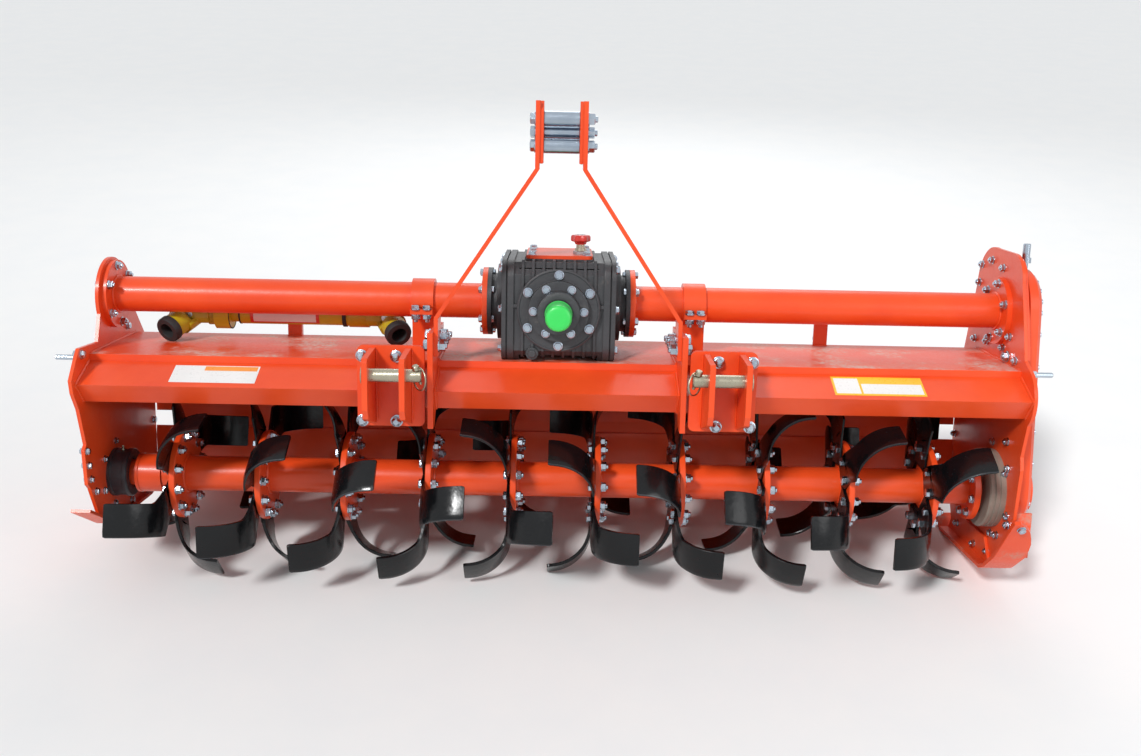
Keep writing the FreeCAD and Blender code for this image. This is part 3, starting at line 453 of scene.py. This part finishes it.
BUSH_X, BUSH_LONG = -38, 76
bush = Lot("head_bushes", "frame", ZINC, "bright_steel")
for (y, z), r0, bore in zip(HEAD_HOLES, (16, 14, 16), (9.5, 8, 9.5)):
    bush.lathe((BUSH_X, y, z), X, [(0, bore), (0, r0 - 1), (1, r0), (BUSH_LONG - 1, r0), (BUSH_LONG, r0 - 1),
                                   (BUSH_LONG, bore), (0, bore)], 32)
bush.done(replaces=["head_bush_top", "head_bush_middle", "head_bush_bottom"])

# Right skid: a strip bent up into a round nose, a web over it and a block behind the nose
SKID_T = 10.0
# y and z of the strip's lower face
SKID_LINE = [(290.0, -167.8), (247.0, -194.8), (-44.0, -187.8), (-72.0, -175.8), (-130.0, -129.8),
             (-214.0, -19.7)]
# y, inner and outer edge along the strip
SKID_PLAN = [(290, 1015, 1083), (247, 1015, 1083), (100, 1015, 1083), (-44, 1015, 1083), (-58, 1015, 1083.5),
             (-72, 1015, 1084.5), (-100, 1015, 1086.5), (-130, 1015.5, 1088), (-150, 1017, 1087),
             (-164, 1018, 1084), (-178, 1019, 1077), (-192, 1020, 1068), (-204, 1021, 1054), (-213, 1022, 1036)]


def skid_z(y):
    (y0, z0), (y1, z1) = next((a, b) for a, b in zip(SKID_LINE, SKID_LINE[1:]) if b[0] <= y)
    return z0 + (z1 - z0) * (y0 - y) / (y0 - y1)


skid = Lot("skid_strip", "frame", SKID_PAINT, "orange_red_paint")
rows = []
for k, (y, x0, x1) in enumerate(SKID_PLAN):
    a, b = SKID_PLAN[max(k - 1, 0)][0], SKID_PLAN[min(k + 1, len(SKID_PLAN) - 1)][0]
    d = Vector((0, b - a, skid_z(b) - skid_z(a))).normalized()
    up = Vector((0, d.z, -d.y)) * SKID_T
    p, q = Vector((x0, y, skid_z(y))), Vector((x1, y, skid_z(y)))
    rows += [p, q, q + up, p + up]
n = len(SKID_PLAN)
faces = [[4 * k + j, 4 * k + (j + 1) % 4, 4 * k + 4 + (j + 1) % 4, 4 * k + 4 + j]
         for k in range(n - 1) for j in range(4)]
skid.add(rows, faces + [[0, 1, 2, 3], [4 * n - 4, 4 * n - 3, 4 * n - 2, 4 * n - 1]])
skid.slab([(1038, -43, -179), (1038, 246, -186), (1038, 217, -124.8), (1038, 0, -124.8)], (8, 0, 0))
skid.slab([(1064, -104, -136), (1102, -104, -136), (1102, -104, -28), (1064, -104, -28)], (0, -8, 0))
skid.done(replaces=["skid_right"], bevel=0.0012)

# Hitch: domed bolts on the brackets, headed pins with their linch pins and rings
hitch = Lot("hitch_bolts", "frame", ZINC, "bright_steel")
for sx in BOTH:
    for x in (348, 422):
        for z in (331, 188):
            hitch.bolt((sx * x, -198, z), -Y, 12.5, rnd.uniform(0, 1), dome=True)
hitch.done()

PIN_X, LINCH_X = 283.5, 291      # a pin's inner end, its linch pin
pins = Lot("hitch_pins", "frame", BRASSY, "yellow_zinc")
for sx in BOTH:
    pins.lathe((sx * PIN_X, PIN_Y, PIN_Z), X * sx,
               [(0, 0), (0, 11.5), (2.5, 14), (121, 14), (121, 19), (124, 20), (126, 19), (126, 0)], 28)
    pins.lathe((sx * LINCH_X, PIN_Y, PIN_Z), (0.25 * sx, -0.3, 1),
               [(-21, 0), (-20, 3), (-14, 4.5), (14, 4.5), (15, 8), (23, 8), (25, 6), (25, 0)], 12)
    ring = []
    for i in range(32):
        t = 2 * math.pi * i / 32
        x = LINCH_X - 3.0 - 15 * math.sin(t)
        ring.append((sx * x, PIN_Y - 4 - 19 * math.sin(t), PIN_Z - 6 - 24 * math.cos(t)))
    pins.tube(ring, 1.9, 8, closed=True)
pins.done(replaces=["lower_pin_left", "lower_pin_right"])

# Clamps on the cross tubes: a bolt and a nut either side of each joint
clamps = Lot("clamp_bolts", "frame", ZINC, "bright_steel")
for sx in BOTH:
    for x in (304, 330):
        clamps.bolt((sx * x, -1, 404), Z, 11.0, rnd.uniform(0, 1))
        clamps.bolt((sx * x, -1, 392), -Z, 11.0, rnd.uniform(0, 1), stub=7.0)
clamps.done()

# Side plates: y, z and size of each bolt on the inner face
PLATE_R = [(131, 531, 9), (194, 514, 9), (58, 520, 9), (203, 469, 9), (200, 328, 9), (119, 335, 9),
           (16, 337, 9), (-19, 369, 9), (-15, 322, 12), (-66, 322, 9), (-67, 131, 9), (-78, 57, 9),
           (-72, -17, 9), (-116, -55, 9), (-58, -100, 9), (-13, -157, 9), (57, -163, 9), (180, -152, 9),
           (255, 250, 9), (280, 60, 9)]
PLATE_L = [(-152, 92, 8), (-147, 58, 8), (-140, 24, 8), (-116, -12, 8), (-147, 311, 10), (130, 330, 9),
           (230, 200, 9), (270, 60, 9), (262, -50, 9), (-30, -88, 9), (90, -98, 9), (190, -98, 9)]
PLATES = {1: PLATE_R, -1: PLATE_L}
TUBE_PHASE = {1: 40, -1: 35}      # first bolt of a tube flange, degrees
plates = Lot("side_plate_bolts", "frame", ZINC, "bright_steel")
for sx in (1, -1):
    for y, z, m in PLATES[sx]:
        on_web = sx > 0 and z < -125 and 0 < y < 217      # the skid's web lies between head and plate
        plates.bolt((sx * (IN_X - 8 if on_web else IN_X), y, z), -X * sx, float(m), rnd.uniform(0, 1),
                    stub=3.0 if sx > 0 else 0.0)
        if sx < 0 or z < -50 or (y < -120 or y > 225):    # elsewhere the gear case covers the right plate
            plates.bolt((sx * OUT_X, y, z), X * sx, float(m), rnd.uniform(0, 1))
    for i in range(6):
        a = math.radians(TUBE_PHASE[sx] + 60 * i)
        y, z = TUBE_Y + TUBE_BOLTS_R * math.cos(a), TUBE_Z + TUBE_BOLTS_R * math.sin(a)
        plates.bolt((sx * 1034, y, z), -X * sx, 10.0, rnd.uniform(0, 1), stub=4.0)
        if sx < 0:
            plates.bolt((-OUT_X, y, z), -X, 10.0, rnd.uniform(0, 1))
for i in range(6):
    a = math.radians(20 + 60 * i)
    y, z = math.cos(a), math.sin(a)
    plates.bolt((-IN_X, 74 * y, 74 * z), X, 8.0, rnd.uniform(0, 1))
    plates.bolt((-OUT_X, 74 * y, 74 * z), -X, 8.0, rnd.uniform(0, 1), stub=4.0)
    plates.bolt((IN_X, 110 * y, 110 * z), -X, 9.0, rnd.uniform(0, 1))
plates.bolt((1042, -202, -35.4), (0.0, -0.795, -0.606), 9.5, 0.2)      # square to the skid's slanting nose
plates.done()

# Gear case: socket screws round the lid, the breather pipe, a plug over each shaft; a pin at each beam end
SCREW = [(-1, 0), (-1, 6.5), (3.2, 6.5), (4, 5.8), (4, 3), (1, 3), (1, 0)]
PIPE_AT = (1076, 12, 500)
PIPE = [(0, 0), (0, 6), (38, 6), (38, 12), (50, 12), (50, 8.5), (80, 8.5), (82, 7), (82, 0)]
case = Lot("gear_case_details", "frame", ZINC, "bright_steel", more=(BRASSY,))
screws = []
for k in range(18):
    t = k / 18 * 2 * math.pi
    cy, cz, r = (CASE_Y, CASE_Z, 75) if math.sin(t) > 0 else (0, 0, 60)
    screws.append((cy + r * math.cos(t), cz + r * math.sin(t)))
for z in (75, 150, 225, 300, 375):
    for side in BOTH:
        screws.append((CASE_Y * z / CASE_Z + side * (60 + 15 * z / CASE_Z), z))
for y, z in screws:
    case.lathe((CASE_X, y, z), X, SCREW, 14)
case.lathe(PIPE_AT, Z, PIPE, 20)
for y, z in ((CASE_Y, CASE_Z), (0, 0)):
    case.lathe((CASE_X + 8, y, z), X, [(-1, 0), (-1, 12), (5, 12), (6, 10), (6, 0)], 6, mat=1)
for sx, y, z, end in ((1, -137, 304, 48), (-1, -139, 303, 52)):
    case.lathe((sx * OUT_X, y, z), X * sx, [(-4, 0), (-4, 6), (end - 2, 6), (end, 4.5), (end, 0)], 12)
    case.lathe((sx * OUT_X, y, z), X * sx, [(0, 0), (0, 10.5), (9, 10.5), (9, 0)], 6)
case.done()

# Rotor's bearings: a grooved ring at the right, a plain hub with a grease nipple at the left
hub = Lot("hub_rings", "frame", HUB_GREY, "grey_casting")
hub.lathe((IN_X, 0, 0), -X, [(0, 93), (4, 93.5), (12, 93.5), (13, 91.5), (15, 91.5), (16, 93.5), (24, 93.5),
                             (25, 91), (27, 91), (28, 93), (35, 93), (38, 89), (38, 60), (34, 56),
                             (34, 31)], 64)
hub.done(replaces=["bearing_hub_right"])
hub = Lot("left_hub", "frame", HUB_DARK, "black_casting", more=(BRASSY,))
hub.lathe((-IN_X, 0, 0), X, [(0, 57), (8, 57), (8.5, 55), (34, 54.5), (35, 57), (43, 57), (46, 54), (46, 36),
                             (42, 31)], 56)
hub.lathe((-IN_X + 22, 0, 54), Z, [(0, 4), (4, 4), (4, 2.6), (8, 2.6), (9, 3.2), (11, 2.4), (11, 0)], 8, mat=1)
hub.done(replaces=["bearing_hub_left"])

# Rotor's rings: a disc with six bent blades, left and right in turn
DISC_T, DISC_R, BLADE_T, BLADE_W, BLADE_ROOT = 14.0, 105.0, 8.0, 76.0, 52.0
RINGS, FIRST_X, RING_STEP, RING_TURN, SEEN_RING = 10, -879.0, 195.4, 15.0, 7
BOLT_Y, BOLT_Z = 23.8, 88.9          # a blade's pair of bolts
TIP_R, EDGE_DEG = 245.0, 4.8         # cutting corner of ring SEEN_RING, degrees under the front horizontal
REACH = 107.5                        # sideways, from the stem's outer face to the leaf's end
BEND_R, BEND_DEG, BEND_STEPS = 104.0, 84.0, 16
SWEEP_DEG, BEND_AHEAD = 39.0, 24.4   # the bend leans back; its first line's middle is ahead of the stem's
sweep, full = math.radians(SWEEP_DEG), math.radians(BEND_DEG)
ALONG = Vector((0, math.sin(sweep), math.cos(sweep)))
ACROSS = Vector((0, math.cos(sweep), -math.sin(sweep)))
leaf = (REACH - BEND_R * (1 - math.cos(full))) / math.sin(full)
rise = BEND_R * math.sin(full) + leaf * math.cos(full)
half = BLADE_W / 2
tip_y = -BEND_AHEAD + rise * ALONG.y - half * ACROSS.y
tip_z = math.sqrt(TIP_R ** 2 - tip_y ** 2)
BEND = Vector((0, -BEND_AHEAD, tip_z - rise * ALONG.z + half * ACROSS.z))
LEAD = math.degrees(math.atan2(tip_y, tip_z))
# Round a blade's section from its back: share of its width from the bevelled cutting edge, depth under the outer
# face
SECTION = [(1.0, 1.2), (0.985, 0.0), (0.16, 0.0), (0.03, 2.6), (0.0, 3.8), (0.0, 6.4), (0.016, 8.0),
           (0.985, 8.0), (1.0, 6.8)]
HIGHLIGHT_SIDE, HIGHLIGHT_FROM = 3, 7      # the side of the section that carries the bevel's painted highlight, and the row it starts at


def blade(lot, x_face, flip):
    """Bent blade in its own frame, swept from its stem's root round the leaning bend to the leaf's end."""
    def row(turn, run, narrow=0.0):
        p = BEND + ALONG * (BEND_R * math.sin(turn) + run * math.cos(turn))
        p += X * (x_face + BEND_R * (1 - math.cos(turn)) + run * math.sin(turn))
        back = max(half, (half + BEND_AHEAD - BEND_R * turn * ALONG.y) / ACROSS.y)
        inward = X * math.cos(turn) - ALONG * math.sin(turn)
        return p - ACROSS * (half - narrow), p + ACROSS * (back - narrow), inward

    low, high, _ = row(0.0, 0.0)
    foot, neck = Vector((x_face, 0, BLADE_ROOT)), Vector((x_face, 0, BEND.z - 30))
    rows = [(foot - Y * half, foot + Y * half, X), (neck - Y * half, neck + Y * half, X),
            (neck.lerp(low, 0.5) - Y * half * 0.48, neck.lerp(high, 0.5) + Y * half * 0.5, X)]
    rows += [row(full * i / BEND_STEPS, 0.0) for i in range(BEND_STEPS + 1)]
    rows += [row(full, leaf * 0.5), row(full, leaf - 5.0), row(full, leaf, 2.0)]
    verts, faces, n = [], [], len(SECTION)
    for lead, trail, inward in rows:
        for share, depth in SECTION:
            q = lead.lerp(trail, share) + inward * depth
            verts.append((flip * q.x, q.y, q.z))
    # Faces of the bevel on the outer face, which get the lighter grey of the painted highlight
    highlit_faces = []
    for i in range(len(rows) - 1):
        for j in range(n):
            q = [i * n + j, i * n + (j + 1) % n, (i + 1) * n + (j + 1) % n, (i + 1) * n + j]
            (highlit_faces if j == HIGHLIGHT_SIDE and i >= HIGHLIGHT_FROM else faces).append(q)
    faces += [list(range(n)), list(range(len(verts) - n, len(verts)))]
    lot.add(verts, faces + highlit_faces)
    lot.k[-len(highlit_faces):] = [1] * len(highlit_faces)


for n in range(RINGS):
    name = "tine_ring_%02d" % (n + 1)
    ring = Lot(name + "_blades", "rotor", BLACK, "black_blade", more=(BEVEL_HIGHLIGHT, ZINC, PAINT))
    here = Matrix.Translation((FIRST_X + RING_STEP * n, 0, 0))
    ring.m = here
    h = DISC_T / 2
    ring.lathe((0, 0, 0), X, [(-h, 42), (-h, DISC_R - 1.5), (-h + 1.5, DISC_R), (h - 1.5, DISC_R),
                              (h, DISC_R - 1.5), (h, 42)], 56, mat=3)
    for j in range(6):
        turn = 90 + EDGE_DEG + LEAD + RING_TURN * (n - SEEN_RING) + 60 * j
        ring.m = here @ Matrix.Rotation(math.radians(turn), 4, "X")
        if j % 2:
            blade(ring, -h - BLADE_T, 1)
        else:
            blade(ring, h, -1)
        for y in (-BOLT_Y, BOLT_Y):
            ring.bolt((-h - BLADE_T, y, BOLT_Z), -X, 11.5, rnd.uniform(0, 1), washer=False, mat=2)
            ring.bolt((h, y, BOLT_Z), X, 11.5, rnd.uniform(0, 1), stub=5.0, mat=2)
    ring.m = here
    for side in BOTH:
        ring.ring_weld((side * (h + 1), 0, 0), X, TUBE_R + 1.5, 4.0, 3)
    ring.done(replaces=[name])

# Bolts of the rotor's end flange at the right, a collar on its tube at the left
END_X, END_T, END_BOLTS, END_BOLTS_R, COLLAR_X = 993, 14, 8, 62, -985
rotor = Lot("rotor_bolts", "rotor", ZINC, "bright_steel", more=(PAINT,))
flange = Matrix.Translation((END_X, 0, 0)) @ basis(X)
for i in range(END_BOLTS):
    a = math.radians(10 + 360 * i / END_BOLTS)
    p = flange @ Vector((END_BOLTS_R * math.cos(a), END_BOLTS_R * math.sin(a), 0))
    rotor.bolt(p - X * END_T, -X, 10.0, rnd.uniform(0, 1))
rotor.lathe((COLLAR_X, 0, 0), X, [(0, 46), (6, 46.5), (8, 45.2)], 40, mat=1)
rotor.done()

# Chains of round wire in place of the square-bar ones
WIRE, LINK_IN, LINK_GAP, LINK_R = 6.0, 24.0, 4.0, 7.0
PITCH, REST = LINK_IN - 0.6, LINK_GAP + WIRE + 0.3
POST_Y, POST_T, SLOT_Z = 173.0, 6.0, DECK_Z + 62.0
ROLL = [(DECK_BACK, DECK_Z), (278.0, 206.0), (HOOD_REAR, 70.0)]      # y and z down the rolled hood


def circle(a, b, c):
    """Middle and radius of the circle through three points."""
    d = 2 * (a[0] * (b[1] - c[1]) + b[0] * (c[1] - a[1]) + c[0] * (a[1] - b[1]))
    s = [p[0] ** 2 + p[1] ** 2 for p in (a, b, c)]
    u = (s[0] * (b[1] - c[1]) + s[1] * (c[1] - a[1]) + s[2] * (a[1] - b[1])) / d
    v = (s[0] * (c[0] - b[0]) + s[1] * (a[0] - c[0]) + s[2] * (b[0] - a[0])) / d
    return u, v, math.hypot(a[0] - u, a[1] - v)


def chain(name, body, node, path, x, turn):
    """Links at x along a path of (y, z) points, every other one on edge, the first flat if turn is 0."""
    lot, s = Lot(name, body, CHAIN, "zinc_chain"), 0.0
    seg = [math.dist(path[k], path[k + 1]) for k in range(len(path) - 1)]
    while s + LINK_IN < sum(seg):
        ends = []
        for q in (s, s + PITCH):
            k = 0
            while k < len(seg) - 1 and q > seg[k]:
                q, k = q - seg[k], k + 1
            ends.append([path[k][m] + (path[k + 1][m] - path[k][m]) * q / seg[k] for m in (0, 1)])
        (y0, z0), (y1, z1) = ends
        slope = math.atan2(z1 - z0, y1 - y0)
        lot.m = (Matrix.Translation((x, (y0 + y1) / 2, (z0 + z1) / 2)) @ Matrix.Rotation(slope, 4, "X")
                 @ Matrix.Rotation(math.pi / 2, 4, "Z") @ Matrix.Rotation(math.pi / 2 * turn, 4, "X"))
        half, pts = LINK_IN / 2 + WIRE / 2 - LINK_R, []
        for e, a0 in ((1, -90), (-1, 90)):
            for i in range(9):
                a = math.radians(a0 + 22.5 * i)
                pts.append((e * half + LINK_R * math.cos(a), LINK_R * math.sin(a), 0))
        lot.tube(pts, WIRE / 2, 8, closed=True)
        s, turn = s + PITCH, 1 - turn
    lot.done(replaces=[node])


cy, cz, cr = circle(*ROLL)
a0, a1 = (math.atan2(ROLL[k][1] - cz, ROLL[k][0] - cy) for k in (0, 2))
lift = cr + REST + 0.9
over = [(cy + lift * math.cos(a0 + (a1 - a0) * i / 8), cz + lift * math.sin(a0 + (a1 - a0) * i / 8))
        for i in range(1, 9)]
slot_y = POST_Y + POST_T / 2
slotted = [(slot_y - PITCH / 2, SLOT_Z + REST), (slot_y + PITCH / 2, SLOT_Z + REST)]
FLOOR = TIP_R * math.cos(math.radians(RING_TURN / 2))      # the floor lies this far under the rotor's axis
flap_z = (-FLOOR + FLAP_Y * math.sin(-LEAN)) / math.cos(LEAN) + 2.6
ux, uz = FLAP_Y - HINGE_Y, flap_z - HINGE_Z
fl = math.hypot(ux, uz)
ux, uz = ux / fl, uz / fl


def on_flap(s, up):
    """Point on the tailboard, s along it from the hinge and up over it."""
    return (HINGE_Y + ux * s - uz * up, HINGE_Z + uz * s + ux * up)


for sx, side in ((-1, "left"), (1, "right")):
    chain("chain_%s_links" % side, "frame", "chain_" + side, slotted + over + [(HOOD_REAR + REST + 0.9, 60.0)],
          sx * POST_X, 1)
    chain("flap_chain_%s_links" % side, "tailboard_flap", "flap_chain_" + side,
          [on_flap(135.8, REST + 2), on_flap(60.0, REST + 2)], sx * POST_X, 0)

# Lip of the rear hood in front of the hinge, with a gap at each split pin
LIP_HALF, LIP_FROM, LIP_TO = 962.0, 988.0, 1045.5
LIP = [(294, 40), (294, 22), (289, 16), (289, -44), (286, -44), (286, 18), (291, 40)]
lip = Lot("hood_lip", "frame", PAINT, "orange_red_paint")
for x0, x1 in ((-LIP_TO, -LIP_FROM), (-LIP_HALF, LIP_HALF), (LIP_FROM, LIP_TO)):
    lip.slab([(x0, y, z) for y, z in LIP], (x1 - x0, 0, 0))
lip.done()

# Split pins at the ends of the hinge's rod
SPLIT_X = 979
split = Lot("hinge_pins", "tailboard_flap", ZINC, "bright_steel")
for sx in BOTH:
    x = sx * SPLIT_X
    split.lathe((x, HINGE_Y, HINGE_Z), Z, [(-14, 0), (-14, 1.6), (12, 1.6), (12, 0)], 8)
    split.tube([(x + dx, HINGE_Y, HINGE_Z + dz) for dx, dz in ((0, 10), (4, 14), (0, 18), (-4, 14))], 1.6, 6,
               closed=True)
split.done()

# Stowed drive shaft: caps on the crosses, rubber collars on the yokes that also line and close each yoke's bore in
# black as painted shade, rings and a film on the guard
DS_Y, DS_Z = TUBE_Y + 71.0, DECK_Z + 61.0
CROSSES = ((-1, -886.0), (1, -416.0))
CROSS_CAP = [(31.5, 0), (31.5, 9.2), (33.5, 8.6), (33.5, 3), (35, 2.6), (35.4, 0)]
COLLAR_AND_BORE_SHADE = [(73, 29), (74, 31.5), (87, 31.5), (91, 29.5), (91.5, 26), (91.5, 18.5), (90, 17.8), (52, 17.8),
          (52, 0)]
shaft = Lot("driveline_details", "frame", STEEL, "bright_steel", more=(RUBBER, RED_FILM, WHITE_FILM))
for _, cx in CROSSES:
    for d in (Y, -Y, Z, -Z):
        shaft.lathe((cx, DS_Y, DS_Z), d, CROSS_CAP, 16)
# The collar's black rubber runs down the yoke's bore and shuts it: painted shade where the hole is dark
for sx, cx in CROSSES:
    shaft.lathe((cx, DS_Y, DS_Z), (0.4345 * sx, -0.819, -0.375), COLLAR_AND_BORE_SHADE, 32, mat=1)
for x0, x1, r, n in ((-790.6, -789.4, 38.4, 1), (-520.5, -511.5, 28.6, 1), (-770.0, -766.0, 25.8, 1)):
    shaft.lathe((x0, DS_Y, DS_Z), X, [(0, r - 3), (0, r), (x1 - x0, r), (x1 - x0, r - 3)], 40, mat=n)


def film(lot, x0, x1, r, half, mat):
    """Blank patch of thin film round the front of the guard, half in degrees either way."""
    verts, faces, n = [], [], 12
    for i in range(n + 1):
        a = math.radians(180 - half + 2 * half * i / n - 10)
        for x in (x0, x1):
            verts.append((x, DS_Y + r * math.cos(a), DS_Z + r * math.sin(a)))
    for i in range(n):
        faces.append([2 * i, 2 * i + 1, 2 * i + 3, 2 * i + 2])
    lot.add(verts, faces, mat)


film(shaft, -742, -576, 25.3, 62, 2)
film(shaft, -734, -584, 25.6, 50, 3)
shaft.done(smooth=40)

# Blank films on the beam: ends along it, lower and upper edge as shares of its slope, height over it, colour
BEAM_FILMS = ((-850, -662, 0.18, 0.86, 0.2, 0), (-782, -666, 0.66, 0.83, 0.5, 2),
              (612, 815, 0.16, 0.90, 0.2, 1), (617, 671, 0.23, 0.83, 0.5, 0), (676, 810, 0.23, 0.62, 0.5, 0))
FILM_T = 0.3
films = Lot("beam_films", "frame", WHITE_FILM, more=(YELLOW_FILM, ORANGE_FILM))
fy, fz = BEAM_TOP[0] - NOSE[0], BEAM_TOP[1] - NOSE[1]
fn = math.hypot(fy, fz)
for x0, x1, t0, t1, up, mat in BEAM_FILMS:
    pts = []
    for x, t in ((x0, t0), (x1, t0), (x1, t1), (x0, t1)):
        pts.append((x, NOSE[0] + fy * t - fz / fn * up, NOSE[1] + fz * t + fy / fn * up))
    films.slab(pts, (0, -fz / fn * FILM_T, fy / fn * FILM_T), mat)
films.done()


# Camera: place in the level frame, angles, focal length and frame width in pixels of the photograph's frame
PITCH_DEG, YAW_DEG, ROLL_DEG = 12.0, -0.65, 1.22
EYE = (0.9, -2634.5, 808.1)
FOCAL_PX, FRAME_PX = 1150.0, 1141.0


def camera():
    pitch, yaw, roll = math.radians(PITCH_DEG), math.radians(YAW_DEG), math.radians(ROLL_DEG)
    fw = Vector((-math.sin(yaw) * math.cos(pitch), math.cos(yaw) * math.cos(pitch), -math.sin(pitch)))
    r = fw.cross(Z).normalized()
    u = r.cross(fw)
    r2 = r * math.cos(roll) + u * math.sin(roll)
    u2 = -r * math.sin(roll) + u * math.cos(roll)
    turn = Matrix.Rotation(LEAN, 3, "X") @ Matrix((r2, u2, -fw)).transposed()
    cam = bpy.data.cameras.new("camera")
    cam.sensor_width = 36.0
    cam.lens = 36.0 * FOCAL_PX / FRAME_PX
    ob = bpy.data.objects.new("camera", cam)
    ob.matrix_world = Matrix.Translation(LEVEL @ Vector(EYE)) @ turn.to_4x4()
    bpy.context.scene.collection.objects.link(ob)
    bpy.context.scene.camera = ob


camera()
scene = bpy.context.scene
scene.view_settings.view_transform = "Standard"


# Soft lamps, aimed at the machine's middle
AIM = Vector((0, 0, 0.4))


def lamp(name, kind, energy, place, size):
    """Sun with an angle of size, or disc lamp of that diameter in metres."""
    light = bpy.data.lights.new(name, kind)
    light.energy = energy
    if kind == "AREA":
        light.shape, light.size = "DISK", size
    else:
        light.angle = size
    ob = bpy.data.objects.new(name, light)
    turn = (AIM - Vector(place)).to_track_quat("-Z", "Y")
    ob.matrix_world = Matrix.Translation(place) @ turn.to_matrix().to_4x4()
    scene.collection.objects.link(ob)


lamp("key", "SUN", 2.4, (-2.2, -3.4, 4.2), math.radians(9))
lamp("fill", "AREA", 60.0, (3.5, -3.0, 2.6), 3.0)
lamp("back", "AREA", 50.0, (0.5, 3.8, 3.2), 3.0)

# World: a dim even light on the object, a pale backdrop to the camera and in gloss
world = bpy.data.worlds.new("world")
scene.world = world
world.use_nodes = True
wn = world.node_tree
bg = wn.nodes["Background"]
bg.inputs[0].default_value = (0.93, 0.96, 1.0, 1.0)
bg.inputs[1].default_value = 0.42
seen = wn.nodes.new("ShaderNodeBackground")
seen.inputs[0].default_value = (0.90, 0.92, 0.94, 1.0)
seen.inputs[1].default_value = 1.0
path = wn.nodes.new("ShaderNodeLightPath")
total = path.outputs["Is Camera Ray"]
for kind in ("Is Glossy Ray", "Is Transmission Ray"):
    add = wn.nodes.new("ShaderNodeMath")
    add.operation, add.use_clamp = "ADD", True
    wn.links.new(total, add.inputs[0])
    wn.links.new(path.outputs[kind], add.inputs[1])
    total = add.outputs[0]
mixer = wn.nodes.new("ShaderNodeMixShader")
wn.links.new(total, mixer.inputs[0])
wn.links.new(bg.outputs[0], mixer.inputs[1])
wn.links.new(seen.outputs[0], mixer.inputs[2])
wn.links.new(mixer.outputs[0], wn.nodes["World Output"].inputs[0])

# Floor, pale and plain
me = bpy.data.meshes.new("floor")
me.from_pydata([(-25, -15, 0), (25, -15, 0), (25, 40, 0), (-25, 40, 0)], [], [(0, 1, 2, 3)])
me.materials.append(finish_of("floor_plain", rgb(238, 238, 237), rgb(235, 236, 236), (0.8, 0.9),
                              grain=(0.0, 0.0)))
floor = bpy.data.objects.new("floor", me)
scene.collection.objects.link(floor)
